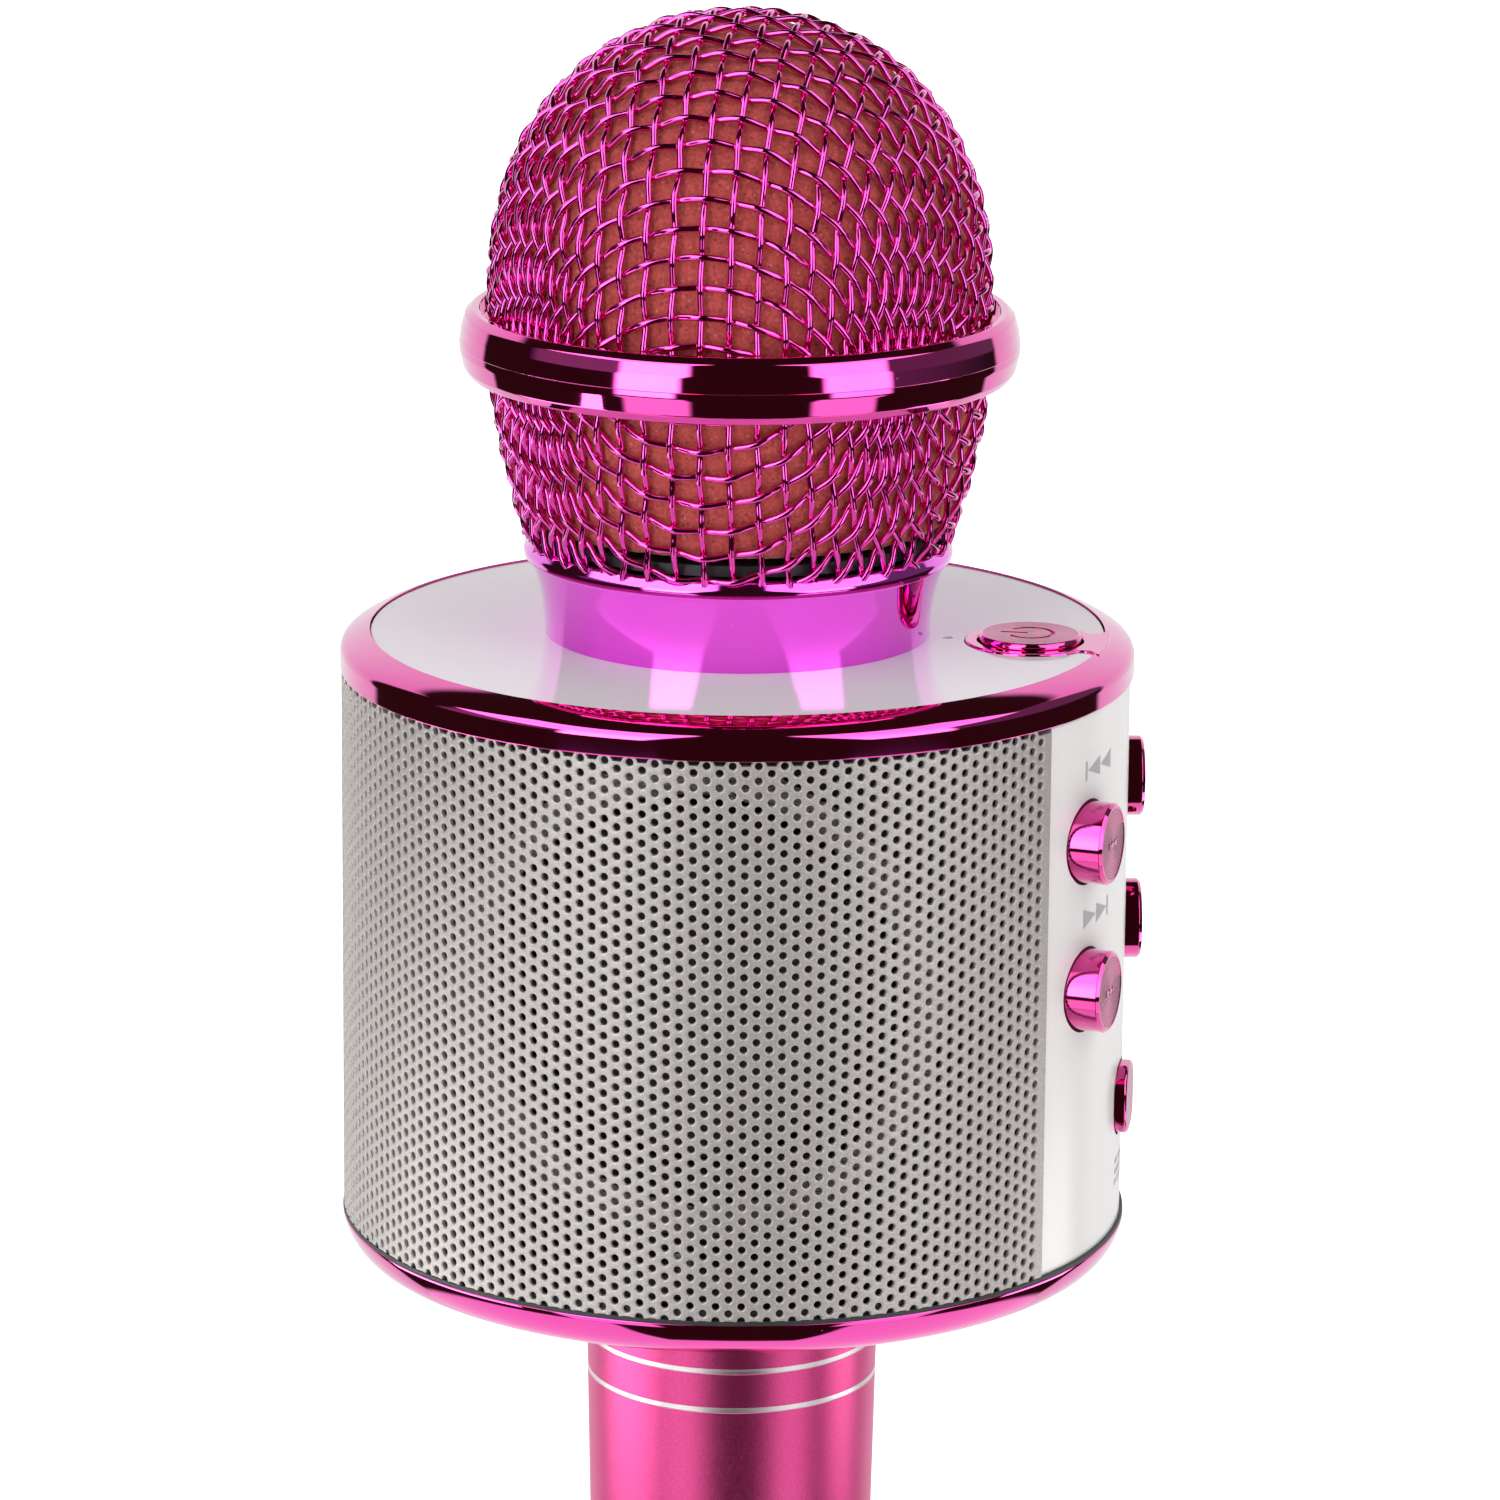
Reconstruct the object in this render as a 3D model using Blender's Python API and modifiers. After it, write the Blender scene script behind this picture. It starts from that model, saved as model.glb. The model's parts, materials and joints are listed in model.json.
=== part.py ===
"""Karaoke microphone with a built-in loudspeaker, as separate named sub-parts.

Units are metres. +Z runs from the handle's flat tail to the crown of the head, and the
origin is the centre of the tail's flat face. The loudspeakers and their grilles face -Y
and +Y, the control panel faces +X and the socket panel faces -X.
"""
from math import cos, pi, radians, sin

import bmesh
import bpy
from mathutils import Vector

# ---- Driving dimensions ---------------------------------------------------------------
TOTAL_HEIGHT = 0.245
GAP = 0.0003                  # clearance between two pieces that touch

BODY_RADIUS = 0.0415
GRILLE_LOW, GRILLE_HIGH = 0.1173, 0.1758
GRILLE_THICKNESS = 0.0006
BOTTOM_BEZEL_LOW, BOTTOM_BEZEL_HIGH = 0.1133, 0.1172
TOP_BEZEL_LOW, TOP_BEZEL_HIGH = 0.1759, 0.1799
BEZEL_INNER_RADIUS = 0.0384
LEDGE_RADIUS = 0.0355

PANEL_RADIUS = 0.0411
PANEL_THICKNESS = 0.0018
CONTROL_HALF_ANGLE = radians(30.3)
SOCKET_HALF_ANGLE = radians(11.3)
SEAM_ANGLE = radians(0.45)

PLATE_LOW, PLATE_HIGH = 0.1776, 0.1797
PLATE_HOLE_RADIUS = 0.0186

HANDLE_TOP_RADIUS, HANDLE_TAIL_RADIUS = 0.0157, 0.0136
HANDLE_BORE_RADIUS = 0.0124
HANDLE_LOW, HANDLE_HIGH = 0.0090, 0.1131
GROOVE_HEIGHTS = (0.1031, 0.0988, 0.0210, 0.0167)
GROOVE_WIDTH, GROOVE_DEPTH = 0.0005, 0.00025

COLLAR_BASE_RADIUS, COLLAR_LIP_RADIUS = 0.0202, 0.0224
COLLAR_LOW, COLLAR_FLARE_TOP, COLLAR_HIGH = 0.1798, 0.1875, 0.1897
COLLAR_BORE_RADIUS, COLLAR_CUP_RADIUS, COLLAR_CUP_LOW = 0.0150, 0.0194, 0.1840

MESH_THICKNESS = 0.0009
CUP_LOW, CUP_HIGH = 0.1890, 0.2080
CUP_LOW_RADIUS, CUP_HIGH_RADIUS, CUP_BULGE = 0.02225, 0.02639, 0.000616
BAND_LOW, BAND_CREASE, BAND_HIGH = 0.2071, 0.2104, 0.2139
DOME_LOW, DOME_RADIUS = 0.2143, 0.026385
DOME_RADIAL_POWER, DOME_HEIGHT_POWER = 2.075, 2.37
FOAM_LOW, FOAM_CLEARANCE, FOAM_THICKNESS = 0.1920, 0.0016, 0.0060

SPEAKER_HEIGHT = (GRILLE_LOW + GRILLE_HIGH) / 2
BAFFLE_OUTER, BAFFLE_INNER = 0.0240, 0.0220
CHASSIS_RADIUS = 0.0389

ROUND_PROUD, MODE_PROUD = 0.0027, 0.0011
BUTTON_RADIUS, BUTTON_FACE_RADIUS = 0.00425, 0.0038
FLANGE_RADIUS, FLANGE_TOP, FLANGE_LOW = 0.0052, -0.0034, -0.0041
BUTTON_CLEARANCE = 0.0003
SWITCH_TOP, SWITCH_HEIGHT, SWITCH_SIDE = -0.0052, 0.0026, 0.0060
SWITCH_WELL_RADIUS, SWITCH_WELL_DEPTH = 0.0016, 0.0016
STEM_RADIUS, STEM_END = 0.0013, -0.0057
COLUMN_ANGLE, COLUMN_AXIS_ANGLE = radians(19.6), radians(10.8)
ROUND_BUTTONS = {
    "skip_back_button": (-1, 0.1622),
    "skip_forward_button": (-1, 0.1465),
    "volume_up_button": (1, 0.1622),
    "volume_down_button": (1, 0.1465),
}
MODE_BUTTON_HEIGHT, MODE_BUTTON_SIDE, MODE_BUTTON_CORNER = 0.1310, 0.0073, 0.0028
BOARD_RADIUS, BOARD_THICKNESS = 0.0326, 0.0008

POWER_X = 0.0308
POWER_CAP_RADIUS, POWER_BEZEL_RADIUS = 0.0053, 0.00675
POWER_BRIDGE_WIDTH = 0.0080
POWER_TOP = 0.1806
LED_X, LED_RADIUS = 0.0221, 0.0005

RING_STEPS, HEAD_STEPS, HANDLE_STEPS, SMALL_STEPS = 48, 36, 28, 16
MERGE = 0.00001


# ---- Scene, collections and materials -------------------------------------------------
def clear_scene():
    for old in list(bpy.data.objects):
        bpy.data.objects.remove(old, do_unlink=True)


def new_collection(name):
    collection = bpy.data.collections.new(name)
    bpy.context.scene.collection.children.link(collection)
    return collection


def new_material(name, colour, roughness, metallic=0.0):
    material = bpy.data.materials.new(name)
    material.use_nodes = True
    shader = material.node_tree.nodes["Principled BSDF"]
    shader.inputs["Base Color"].default_value = (*colour, 1.0)
    shader.inputs["Roughness"].default_value = roughness
    shader.inputs["Metallic"].default_value = metallic
    return material


FINISHES = {
    "plating": ((0.78, 0.05, 0.42), 0.08, 1.0),
    "handle": ((0.72, 0.10, 0.34), 0.38, 1.0),
    "grille": ((0.48, 0.48, 0.50), 0.42, 0.8),
    "wire": ((0.70, 0.06, 0.42), 0.15, 1.0),
    "white": ((0.86, 0.85, 0.88), 0.10, 0.0),
    "foam": ((0.42, 0.06, 0.05), 0.95, 0.0),
    "black": ((0.03, 0.03, 0.035), 0.45, 0.0),
    "steel": ((0.60, 0.60, 0.62), 0.30, 1.0),
    "cone": ((0.05, 0.05, 0.055), 0.70, 0.0),
    "rubber": ((0.02, 0.02, 0.02), 0.80, 0.0),
    "board": ((0.02, 0.17, 0.07), 0.40, 0.0),
    "cell": ((0.05, 0.20, 0.55), 0.35, 0.0),
    "lens": ((0.55, 0.65, 0.90), 0.15, 0.0),
}


def finish_for(node, finish):
    """Give each node a material of its own in the named finish."""
    colour, roughness, metallic = FINISHES[finish]
    return new_material(node, colour, roughness, metallic)


# ---- Shape makers ---------------------------------------------------------------------
def add_object(name, data, finish=None):
    """Put new data in the scene: a part if it has a finish, otherwise a hidden cutter."""
    obj = bpy.data.objects.new(name, data)
    if finish is None:
        CUTTERS.objects.link(obj)
        obj.hide_render = True
        obj.display_type = "WIRE"
    else:
        PARTS.objects.link(obj)
        data.materials.append(finish_for(name, finish))
    return obj


def turned(name, profile, steps, finish=None, closed=True):
    """Turn (radius, height) points about Z. An open profile starts and ends on the axis."""
    mesh = bpy.data.meshes.new(name)
    points = [(radius, 0.0, height) for radius, height in profile]
    edges = [(i, i + 1) for i in range(len(points) - 1)]
    if closed:
        edges.append((len(points) - 1, 0))
    mesh.from_pydata(points, edges, [])
    obj = add_object(name, mesh, finish)
    screw = obj.modifiers.new("turn", "SCREW")
    screw.axis = "Z"
    screw.angle = 2 * pi
    screw.steps = screw.render_steps = steps
    screw.use_merge_vertices = True
    screw.merge_threshold = MERGE
    screw.use_smooth_shade = True
    return obj


def curved_wall(name, radius, thickness, low, high, start, end, steps, finish):
    """A wall bent round Z between two polar angles, with its outer face at the radius."""
    mesh = bpy.data.meshes.new(name)
    mesh.from_pydata([(radius, 0.0, high), (radius, 0.0, low)], [(0, 1)], [])
    obj = add_object(name, mesh, finish)
    obj.rotation_euler.z = start
    screw = obj.modifiers.new("bend", "SCREW")
    screw.axis = "Z"
    screw.angle = end - start
    screw.steps = screw.render_steps = steps
    screw.use_merge_vertices = True
    screw.merge_threshold = MERGE
    screw.use_smooth_shade = True
    wall = obj.modifiers.new("thickness", "SOLIDIFY")
    wall.thickness = thickness
    wall.offset = -1.0
    return obj


def box(name, low, high, finish=None):
    mesh = bpy.data.meshes.new(name)
    shape = bmesh.new()
    bmesh.ops.create_cube(shape, size=1.0)
    size = Vector(high) - Vector(low)
    bmesh.ops.scale(shape, vec=size, verts=shape.verts)
    shape.to_mesh(mesh)
    shape.free()
    obj = add_object(name, mesh, finish)
    obj.location = (Vector(high) + Vector(low)) / 2
    return obj


def cylinder(name, radius, low, high, finish=None, steps=SMALL_STEPS):
    """A cylinder on its own Z axis, between two heights measured from its origin."""
    mesh = bpy.data.meshes.new(name)
    shape = bmesh.new()
    bmesh.ops.create_cone(shape, cap_ends=True, segments=steps, radius1=radius,
                          radius2=radius, depth=high - low)
    bmesh.ops.translate(shape, vec=(0.0, 0.0, (high + low) / 2), verts=shape.verts)
    shape.to_mesh(mesh)
    shape.free()
    mesh.shade_smooth()
    mesh.set_sharp_from_angle(angle=radians(35))
    return add_object(name, mesh, finish)


def rounded_square(name, side, corner, low, high, steps_per_corner=5):
    """A square block with rounded corners: a flat curve outline, extruded, as a mesh."""
    curve = bpy.data.curves.new(name, "CURVE")
    curve.dimensions = "2D"
    curve.fill_mode = "BOTH"
    curve.extrude = (high - low) / 2
    outline = curve.splines.new("POLY")
    centre = side / 2 - corner
    points = []
    for quarter in range(4):
        middle = pi / 4 + quarter * pi / 2
        x = centre * (1 if cos(middle) > 0 else -1)
        y = centre * (1 if sin(middle) > 0 else -1)
        for step in range(steps_per_corner + 1):
            angle = quarter * pi / 2 + step * (pi / 2) / steps_per_corner
            points.append((x + corner * cos(angle), y + corner * sin(angle)))
    outline.points.add(len(points) - 1)
    for point, (x, y) in zip(outline.points, points):
        point.co = (x, y, 0.0, 1.0)
    outline.use_cyclic_u = True
    return solid_from_curve(name, curve, (0.0, 0.0, (high + low) / 2))


def solid_from_curve(name, curve, offset=(0.0, 0.0, 0.0)):
    """Turn a curve into a mesh datablock whose caps are welded to its sides."""
    source = bpy.data.objects.new(name + "_curve", curve)
    CUTTERS.objects.link(source)
    evaluated = source.evaluated_get(bpy.context.evaluated_depsgraph_get())
    mesh = bpy.data.meshes.new_from_object(evaluated)
    bpy.data.objects.remove(source)
    shape = bmesh.new()
    shape.from_mesh(mesh)
    bmesh.ops.remove_doubles(shape, verts=shape.verts, dist=MERGE)
    bmesh.ops.translate(shape, vec=offset, verts=shape.verts)
    bmesh.ops.recalc_face_normals(shape, faces=shape.faces)
    shape.to_mesh(mesh)
    shape.free()
    mesh.name = name
    mesh.materials.clear()
    return mesh


def boolean(target, tool, operation="DIFFERENCE"):
    step = target.modifiers.new(tool.name, "BOOLEAN")
    step.operation = operation
    step.solver = "EXACT"
    step.object = tool


def face_outwards(obj, angle, height, radius):
    """Place an object with its own +Z pointing out from the Z axis and its +Y pointing up."""
    obj.location = (radius * cos(angle), radius * sin(angle), height)
    obj.rotation_euler = (pi / 2, 0.0, pi / 2 + angle)


def face_along_y(obj, side, distance, height):
    """Place an object with its own +Z pointing along +Y (side 1) or -Y (side -1)."""
    obj.location = (0.0, side * distance, height)
    obj.rotation_euler = (-side * pi / 2, 0.0, 0.0)


# ---- Outlines of the head -------------------------------------------------------------
def cup_radius(height):
    """Outer radius of the lower mesh cup, which bulges slightly between its two ends."""
    t = (height - CUP_LOW) / (CUP_HIGH - CUP_LOW)
    return CUP_LOW_RADIUS + (CUP_HIGH_RADIUS - CUP_LOW_RADIUS) * t + CUP_BULGE * 4 * t * (1 - t)


def dome_points(inset, steps):
    """The dome's outline from its crown to its rim, moved inwards by the inset."""
    radius = DOME_RADIUS - inset
    height = TOTAL_HEIGHT - DOME_LOW - inset
    points = []
    for step in range(steps + 1):
        angle = pi / 2 * (1 - step / steps)
        across = max(cos(angle), 0.0) ** (2 / DOME_RADIAL_POWER)
        up = max(sin(angle), 0.0) ** (2 / DOME_HEIGHT_POWER)
        points.append((radius * across if step else 0.0, DOME_LOW + height * up))
    return points


# ---- Handle ---------------------------------------------------------------------------
def handle_radius(height):
    t = (height - HANDLE_LOW) / (HANDLE_HIGH - HANDLE_LOW)
    return HANDLE_TAIL_RADIUS + (HANDLE_TOP_RADIUS - HANDLE_TAIL_RADIUS) * t


def make_handle():
    """Tapered aluminium tube with two pairs of turned grooves."""
    outline = [(handle_radius(HANDLE_HIGH), HANDLE_HIGH)]
    for height in GROOVE_HEIGHTS:
        radius = handle_radius(height)
        outline += [
            (radius, height + GROOVE_WIDTH / 2),
            (radius - GROOVE_DEPTH, height),
            (radius, height - GROOVE_WIDTH / 2),
        ]
    outline += [(HANDLE_TAIL_RADIUS, HANDLE_LOW), (HANDLE_BORE_RADIUS, HANDLE_LOW),
                (HANDLE_BORE_RADIUS, HANDLE_HIGH)]
    turned("handle_tube", outline, HANDLE_STEPS, "handle")


def make_tail_cap():
    """End cap with the flat face that the microphone stands on, and a plug into the tube."""
    shoulder, plug_top, plug_radius, chamfer = 0.0087, 0.0140, 0.0120, 0.0005
    turned("tail_cap", [
        (0.0, plug_top), (plug_radius, plug_top), (plug_radius, shoulder),
        (HANDLE_TAIL_RADIUS, shoulder), (HANDLE_TAIL_RADIUS, chamfer),
        (HANDLE_TAIL_RADIUS - chamfer, 0.0), (0.0, 0.0),
    ], HANDLE_STEPS, "handle", closed=False)


def make_battery():
    """Rechargeable cell in an open cradle, between a coil spring and a contact plate."""
    cradle_low, cradle_high, cradle_inner, cradle_outer = 0.0143, 0.0900, 0.0095, 0.0121
    cell_low, cell_high, cell_radius = 0.0205, 0.0850, 0.0092
    cradle = turned("battery_cradle", [
        (cradle_outer, cradle_high), (cradle_outer, cradle_low),
        (cradle_inner, cradle_low), (cradle_inner, cradle_high),
    ], 24, "black")
    window = box("cradle_window", (0.0, -0.005, cell_low), (0.02, 0.005, cell_high))
    boolean(cradle, window)
    turned("battery_cell", [
        (0.0, 0.0857), (0.0028, 0.0857), (0.0028, cell_high), (cell_radius, cell_high),
        (cell_radius, cell_low), (0.0, cell_low),
    ], 24, "cell", closed=False)
    cylinder("battery_contact", cell_radius, 0.0861, 0.0867, "steel", 24)
    make_battery_spring(0.01475, 0.0198, 0.0072, 0.0040)


def make_battery_spring(low, high, low_radius, high_radius):
    turns, points_per_turn, wire_radius = 3, 10, 0.0004
    count = turns * points_per_turn
    curve = bpy.data.curves.new("battery_spring", "CURVE")
    curve.dimensions = "3D"
    curve.bevel_depth = wire_radius
    curve.bevel_resolution = 1
    curve.use_fill_caps = True
    coil = curve.splines.new("POLY")
    coil.points.add(count)
    for i, point in enumerate(coil.points):
        t = i / count
        radius = low_radius + (high_radius - low_radius) * t
        angle = 2 * pi * turns * t
        point.co = (radius * cos(angle), radius * sin(angle), low + (high - low) * t, 1.0)
    mesh = solid_from_curve("battery_spring", curve)
    mesh.shade_smooth()
    add_object("battery_spring", mesh, "steel")


def make_handle_adapter():
    """Flanged sleeve that clamps the bottom cover to the top of the handle."""
    flange_low, flange_high, flange_radius = 0.1157, 0.1172, 0.0200
    sleeve_radius, sleeve_low, wire_hole = 0.0121, 0.0960, 0.0060
    turned("handle_adapter", [
        (flange_radius, flange_high), (flange_radius, flange_low),
        (sleeve_radius, flange_low), (sleeve_radius, sleeve_low),
        (wire_hole, sleeve_low), (wire_hole, flange_high),
    ], 24, "steel")


# ---- Speaker body ---------------------------------------------------------------------
def quarter_round(outer, inner, start_height, end_height, steps):
    """Points of a quarter ellipse from (outer, start_height) to (inner, end_height)."""
    points = []
    for step in range(steps + 1):
        angle = pi / 2 * step / steps
        radius = inner + (outer - inner) * cos(angle)
        points.append((radius, start_height + (end_height - start_height) * sin(angle)))
    return points


def make_bottom_bezel():
    lip_low, round_end, ledge_low = 0.1169, 0.0380, 0.1157
    outside = [(BODY_RADIUS, BOTTOM_BEZEL_HIGH)]
    outside += quarter_round(BODY_RADIUS, round_end, lip_low, BOTTOM_BEZEL_LOW, 4)
    inside_radius = 0.0379
    turned("bottom_bezel", outside + [
        (inside_radius, BOTTOM_BEZEL_LOW + 0.0001), (inside_radius, ledge_low),
        (LEDGE_RADIUS, ledge_low), (LEDGE_RADIUS, BOTTOM_BEZEL_HIGH),
    ], RING_STEPS, "plating")


SCREW_RADIUS_FROM_AXIS = 0.0310
SCREW_ANGLES = [radians(90 * i) for i in range(4)]


def make_bottom_cover():
    """Flat cover under the body, with a counterbored hole for each of its screws."""
    low, high, outer, inner = 0.1134, 0.1154, 0.0376, 0.0125
    cover = turned("bottom_cover", [(outer, high), (outer, low), (inner, low), (inner, high)],
                   RING_STEPS, "plating")
    for number, angle in enumerate(SCREW_ANGLES, start=1):
        x = SCREW_RADIUS_FROM_AXIS * cos(angle)
        y = SCREW_RADIUS_FROM_AXIS * sin(angle)
        seat = turned(f"screw_seat_{number}", [
            (0.0, 0.1170), (0.0015, 0.1170), (0.0015, 0.1147), (0.0029, 0.1147),
            (0.0029, 0.1120), (0.0, 0.1120),
        ], 12, closed=False)
        seat.location = (x, y, 0.0)
        boolean(cover, seat)
        screw = turned(f"cover_screw_{number}", [
            (0.0, 0.1210), (0.0012, 0.1210), (0.0012, 0.1144), (0.0026, 0.1144),
            (0.0026, 0.1138), (0.0023, 0.1136), (0.0, 0.1136),
        ], 12, "steel", closed=False)
        screw.location = (x, y, 0.0)


def make_grilles():
    """Front and back grille sheets, from the control panel round to the socket panel."""
    start = CONTROL_HALF_ANGLE + SEAM_ANGLE
    end = pi - SOCKET_HALF_ANGLE - SEAM_ANGLE
    for name, first in (("front_grille", -end), ("back_grille", start)):
        curved_wall(name, BODY_RADIUS, GRILLE_THICKNESS, GRILLE_LOW, GRILLE_HIGH,
                    first, first + end - start, 20, "grille")


def make_chassis():
    """Moulded frame: two discs joined by the front and back loudspeaker baffles."""
    low_disc, high_disc = (0.1175, 0.1193), (0.1738, 0.1756)
    baffle_half_width = 0.0304
    chassis = cylinder("chassis", CHASSIS_RADIUS, *low_disc, "black", 32)
    boolean(chassis, cylinder("chassis_top", CHASSIS_RADIUS, *high_disc, None, 32), "UNION")
    overlap = 0.0006
    for name, low_y, high_y in (("baffle_front", -BAFFLE_OUTER, -BAFFLE_INNER),
                                ("baffle_back", BAFFLE_INNER, BAFFLE_OUTER)):
        wall = box(name, (-baffle_half_width, low_y, low_disc[1] - overlap),
                   (baffle_half_width, high_y, high_disc[0] + overlap))
        boolean(chassis, wall, "UNION")
    port = cylinder("speaker_port", 0.0229, -0.030, 0.030, None, 24)
    face_along_y(port, 1, 0.0, SPEAKER_HEIGHT)
    boolean(chassis, port)
    boolean(chassis, cylinder("lower_wire_hole", 0.0080, 0.110, 0.125))
    boolean(chassis, cylinder("upper_wire_hole", 0.0160, 0.170, 0.180, None, 24))
    for number, angle in enumerate(SCREW_ANGLES, start=1):
        hole = cylinder(f"screw_hole_{number}", 0.0016, 0.112, 0.122, None, 12)
        hole.location.x = SCREW_RADIUS_FROM_AXIS * cos(angle)
        hole.location.y = SCREW_RADIUS_FROM_AXIS * sin(angle)
        boolean(chassis, hole)
    switch_opening = box("power_switch_opening", (POWER_X - 0.0035, -0.0035, 0.170),
                         (POWER_X + 0.0035, 0.0035, 0.180))
    boolean(chassis, switch_opening)


def make_speaker(name, side):
    """One loudspeaker: basket, roll surround, cone with its dust cap, and magnet."""
    basket = turned(name + "_basket", [
        (0.0255, 0.0015), (0.0255, 0.0003), (0.0224, 0.0003), (0.0150, -0.0100),
        (0.0060, -0.0100), (0.0060, -0.0092), (0.0145, -0.0092), (0.0216, 0.0006),
        (0.0220, 0.0015),
    ], 20, "steel")
    roll_centre, roll_half_width, roll_base, roll_rise = 0.0193, 0.0014, 0.0008, 0.0013
    roll = [(roll_centre + roll_half_width * cos(pi * i / 4), roll_base + roll_rise * sin(pi * i / 4))
            for i in range(5)]
    surround = turned(name + "_surround", [(0.0208, 0.0003), (0.0178, 0.0003)] + roll[::-1],
                      20, "rubber")
    cone = turned(name + "_cone", [
        (0.0, -0.0042), (0.0040, -0.0049), (0.0065, -0.0066), (0.0174, -0.0004),
        (0.0174, -0.0009), (0.0068, -0.0074), (0.0, -0.0074),
    ], 20, "cone", closed=False)
    magnet = turned(name + "_magnet", [
        (0.0, -0.0103), (0.0160, -0.0103), (0.0160, -0.0165), (0.0120, -0.0165),
        (0.0120, -0.0180), (0.0, -0.0180),
    ], 24, "black", closed=False)
    for piece in (basket, surround, cone, magnet):
        face_along_y(piece, side, BAFFLE_OUTER, SPEAKER_HEIGHT)


# ---- Control panel and its buttons ----------------------------------------------------
def make_switch(name):
    """Square tact switch with a well for the button's stem, below its local origin."""
    half = SWITCH_SIDE / 2
    body = box(name, (-half, -half, SWITCH_TOP - SWITCH_HEIGHT), (half, half, SWITCH_TOP), "black")
    well = cylinder(name + "_well", SWITCH_WELL_RADIUS, SWITCH_TOP - SWITCH_WELL_DEPTH,
                    SWITCH_TOP + 0.001, None, 12)
    centre = body.location.z
    well.location.z = -centre
    well.parent = body
    boolean(body, well)
    return body, centre


def place_in_column(obj, side, height, inset=0.0):
    """Place an object on a side column: on the panel's skin, its axis turned part way to +X."""
    axis_angle = side * COLUMN_AXIS_ANGLE
    face_outwards(obj, axis_angle, height, 0.0)
    obj.location.x = PANEL_RADIUS * cos(COLUMN_ANGLE) + inset * cos(axis_angle)
    obj.location.y = side * PANEL_RADIUS * sin(COLUMN_ANGLE) + inset * sin(axis_angle)


def make_round_button(name, side, height):
    """Round cap with a bevelled face, a flange that holds it in, a stem, and its switch."""
    bevel = BUTTON_RADIUS - BUTTON_FACE_RADIUS
    cap = turned(name, [
        (0.0, ROUND_PROUD), (BUTTON_FACE_RADIUS, ROUND_PROUD),
        (BUTTON_RADIUS, ROUND_PROUD - bevel), (BUTTON_RADIUS, FLANGE_TOP),
        (FLANGE_RADIUS, FLANGE_TOP), (FLANGE_RADIUS, FLANGE_LOW),
        (STEM_RADIUS, FLANGE_LOW), (STEM_RADIUS, STEM_END), (0.0, STEM_END),
    ], SMALL_STEPS, "plating", closed=False)
    place_in_column(cap, side, height)
    switch, offset = make_switch(name.replace("_button", "_switch"))
    place_in_column(switch, side, height, offset)
    hole = cylinder(name + "_hole", BUTTON_RADIUS + BUTTON_CLEARANCE, -0.005, 0.004)
    place_in_column(hole, side, height)
    return hole


def make_mode_button():
    """Rounded-square cap in the middle of the panel, with its flange, stem and switch."""
    side, corner = MODE_BUTTON_SIDE, MODE_BUTTON_CORNER
    overlap = 0.0002
    mesh = rounded_square("mode_button", side, corner, FLANGE_TOP - overlap, MODE_PROUD)
    cap = add_object("mode_button", mesh, "plating")
    flange_mesh = rounded_square("mode_flange", side + 0.0018, corner + 0.0009,
                                 FLANGE_LOW, FLANGE_TOP)
    flange = add_object("mode_flange", flange_mesh)
    stem = cylinder("mode_stem", STEM_RADIUS, STEM_END, FLANGE_LOW + overlap)
    bevel = cap.modifiers.new("edge", "BEVEL")
    bevel.width = 0.0004
    bevel.segments = 2
    bevel.limit_method = "ANGLE"
    boolean(cap, flange, "UNION")
    boolean(cap, stem, "UNION")
    clearance = 2 * BUTTON_CLEARANCE
    hole_mesh = rounded_square("mode_hole", side + clearance, corner + BUTTON_CLEARANCE,
                               -0.004, 0.003)
    hole = add_object("mode_hole", hole_mesh)
    for piece in (cap, flange, stem, hole):
        face_outwards(piece, 0.0, MODE_BUTTON_HEIGHT, PANEL_RADIUS)
    switch, offset = make_switch("mode_switch")
    face_outwards(switch, 0.0, MODE_BUTTON_HEIGHT, PANEL_RADIUS + offset)
    return hole


def make_controls():
    """Curved panel, its five sprung buttons, their switches and the board behind them."""
    panel = curved_wall("control_panel", PANEL_RADIUS, PANEL_THICKNESS, GRILLE_LOW, GRILLE_HIGH,
                        -CONTROL_HALF_ANGLE, CONTROL_HALF_ANGLE, 14, "white")
    board_angle, boss_angle = radians(29), radians(26.5)
    curved_wall("control_board", BOARD_RADIUS, BOARD_THICKNESS, 0.1250, 0.1701,
                -board_angle, board_angle, 10, "board")
    post_low = BOARD_RADIUS + 0.0005 - PANEL_RADIUS
    for number, (side, height) in enumerate(((-1, 0.1270), (1, 0.1270), (-1, 0.1684), (1, 0.1684))):
        post = cylinder(f"panel_post_{number}", 0.0015, post_low, -0.0010, None, 10)
        face_outwards(post, side * boss_angle, height, PANEL_RADIUS)
        boolean(panel, post, "UNION")
    for name, (side, height) in ROUND_BUTTONS.items():
        boolean(panel, make_round_button(name, side, height))
    boolean(panel, make_mode_button())


# ---- Socket panel ---------------------------------------------------------------------
def make_socket(name, height, width, tall, depth, wall, tongue, panel):
    """Metal socket open towards -X, with a tongue inside, and its opening in the panel."""
    front = -0.0404
    shell = box(name, (front, -width / 2, height - tall / 2),
                (front + depth, width / 2, height + tall / 2), "steel")
    mouth = box(name + "_mouth", (front - 0.002, -width / 2 + wall, height - tall / 2 + wall),
                (front + depth - wall, width / 2 - wall, height + tall / 2 - wall))
    boolean(shell, mouth)
    if tongue:
        bar = box(name + "_tongue", (front + 0.001, -width / 2 + wall + 0.0003,
                                     height - tall / 2 + 3 * wall),
                  (front + depth - wall / 2, -width / 2 + wall + tongue,
                   height + tall / 2 - 3 * wall))
        boolean(shell, bar, "UNION")
    opening = box(name + "_opening", (-0.045, -width / 2 - GAP, height - tall / 2 - GAP),
                  (-0.036, width / 2 + GAP, height + tall / 2 + GAP))
    boolean(panel, opening)


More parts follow.
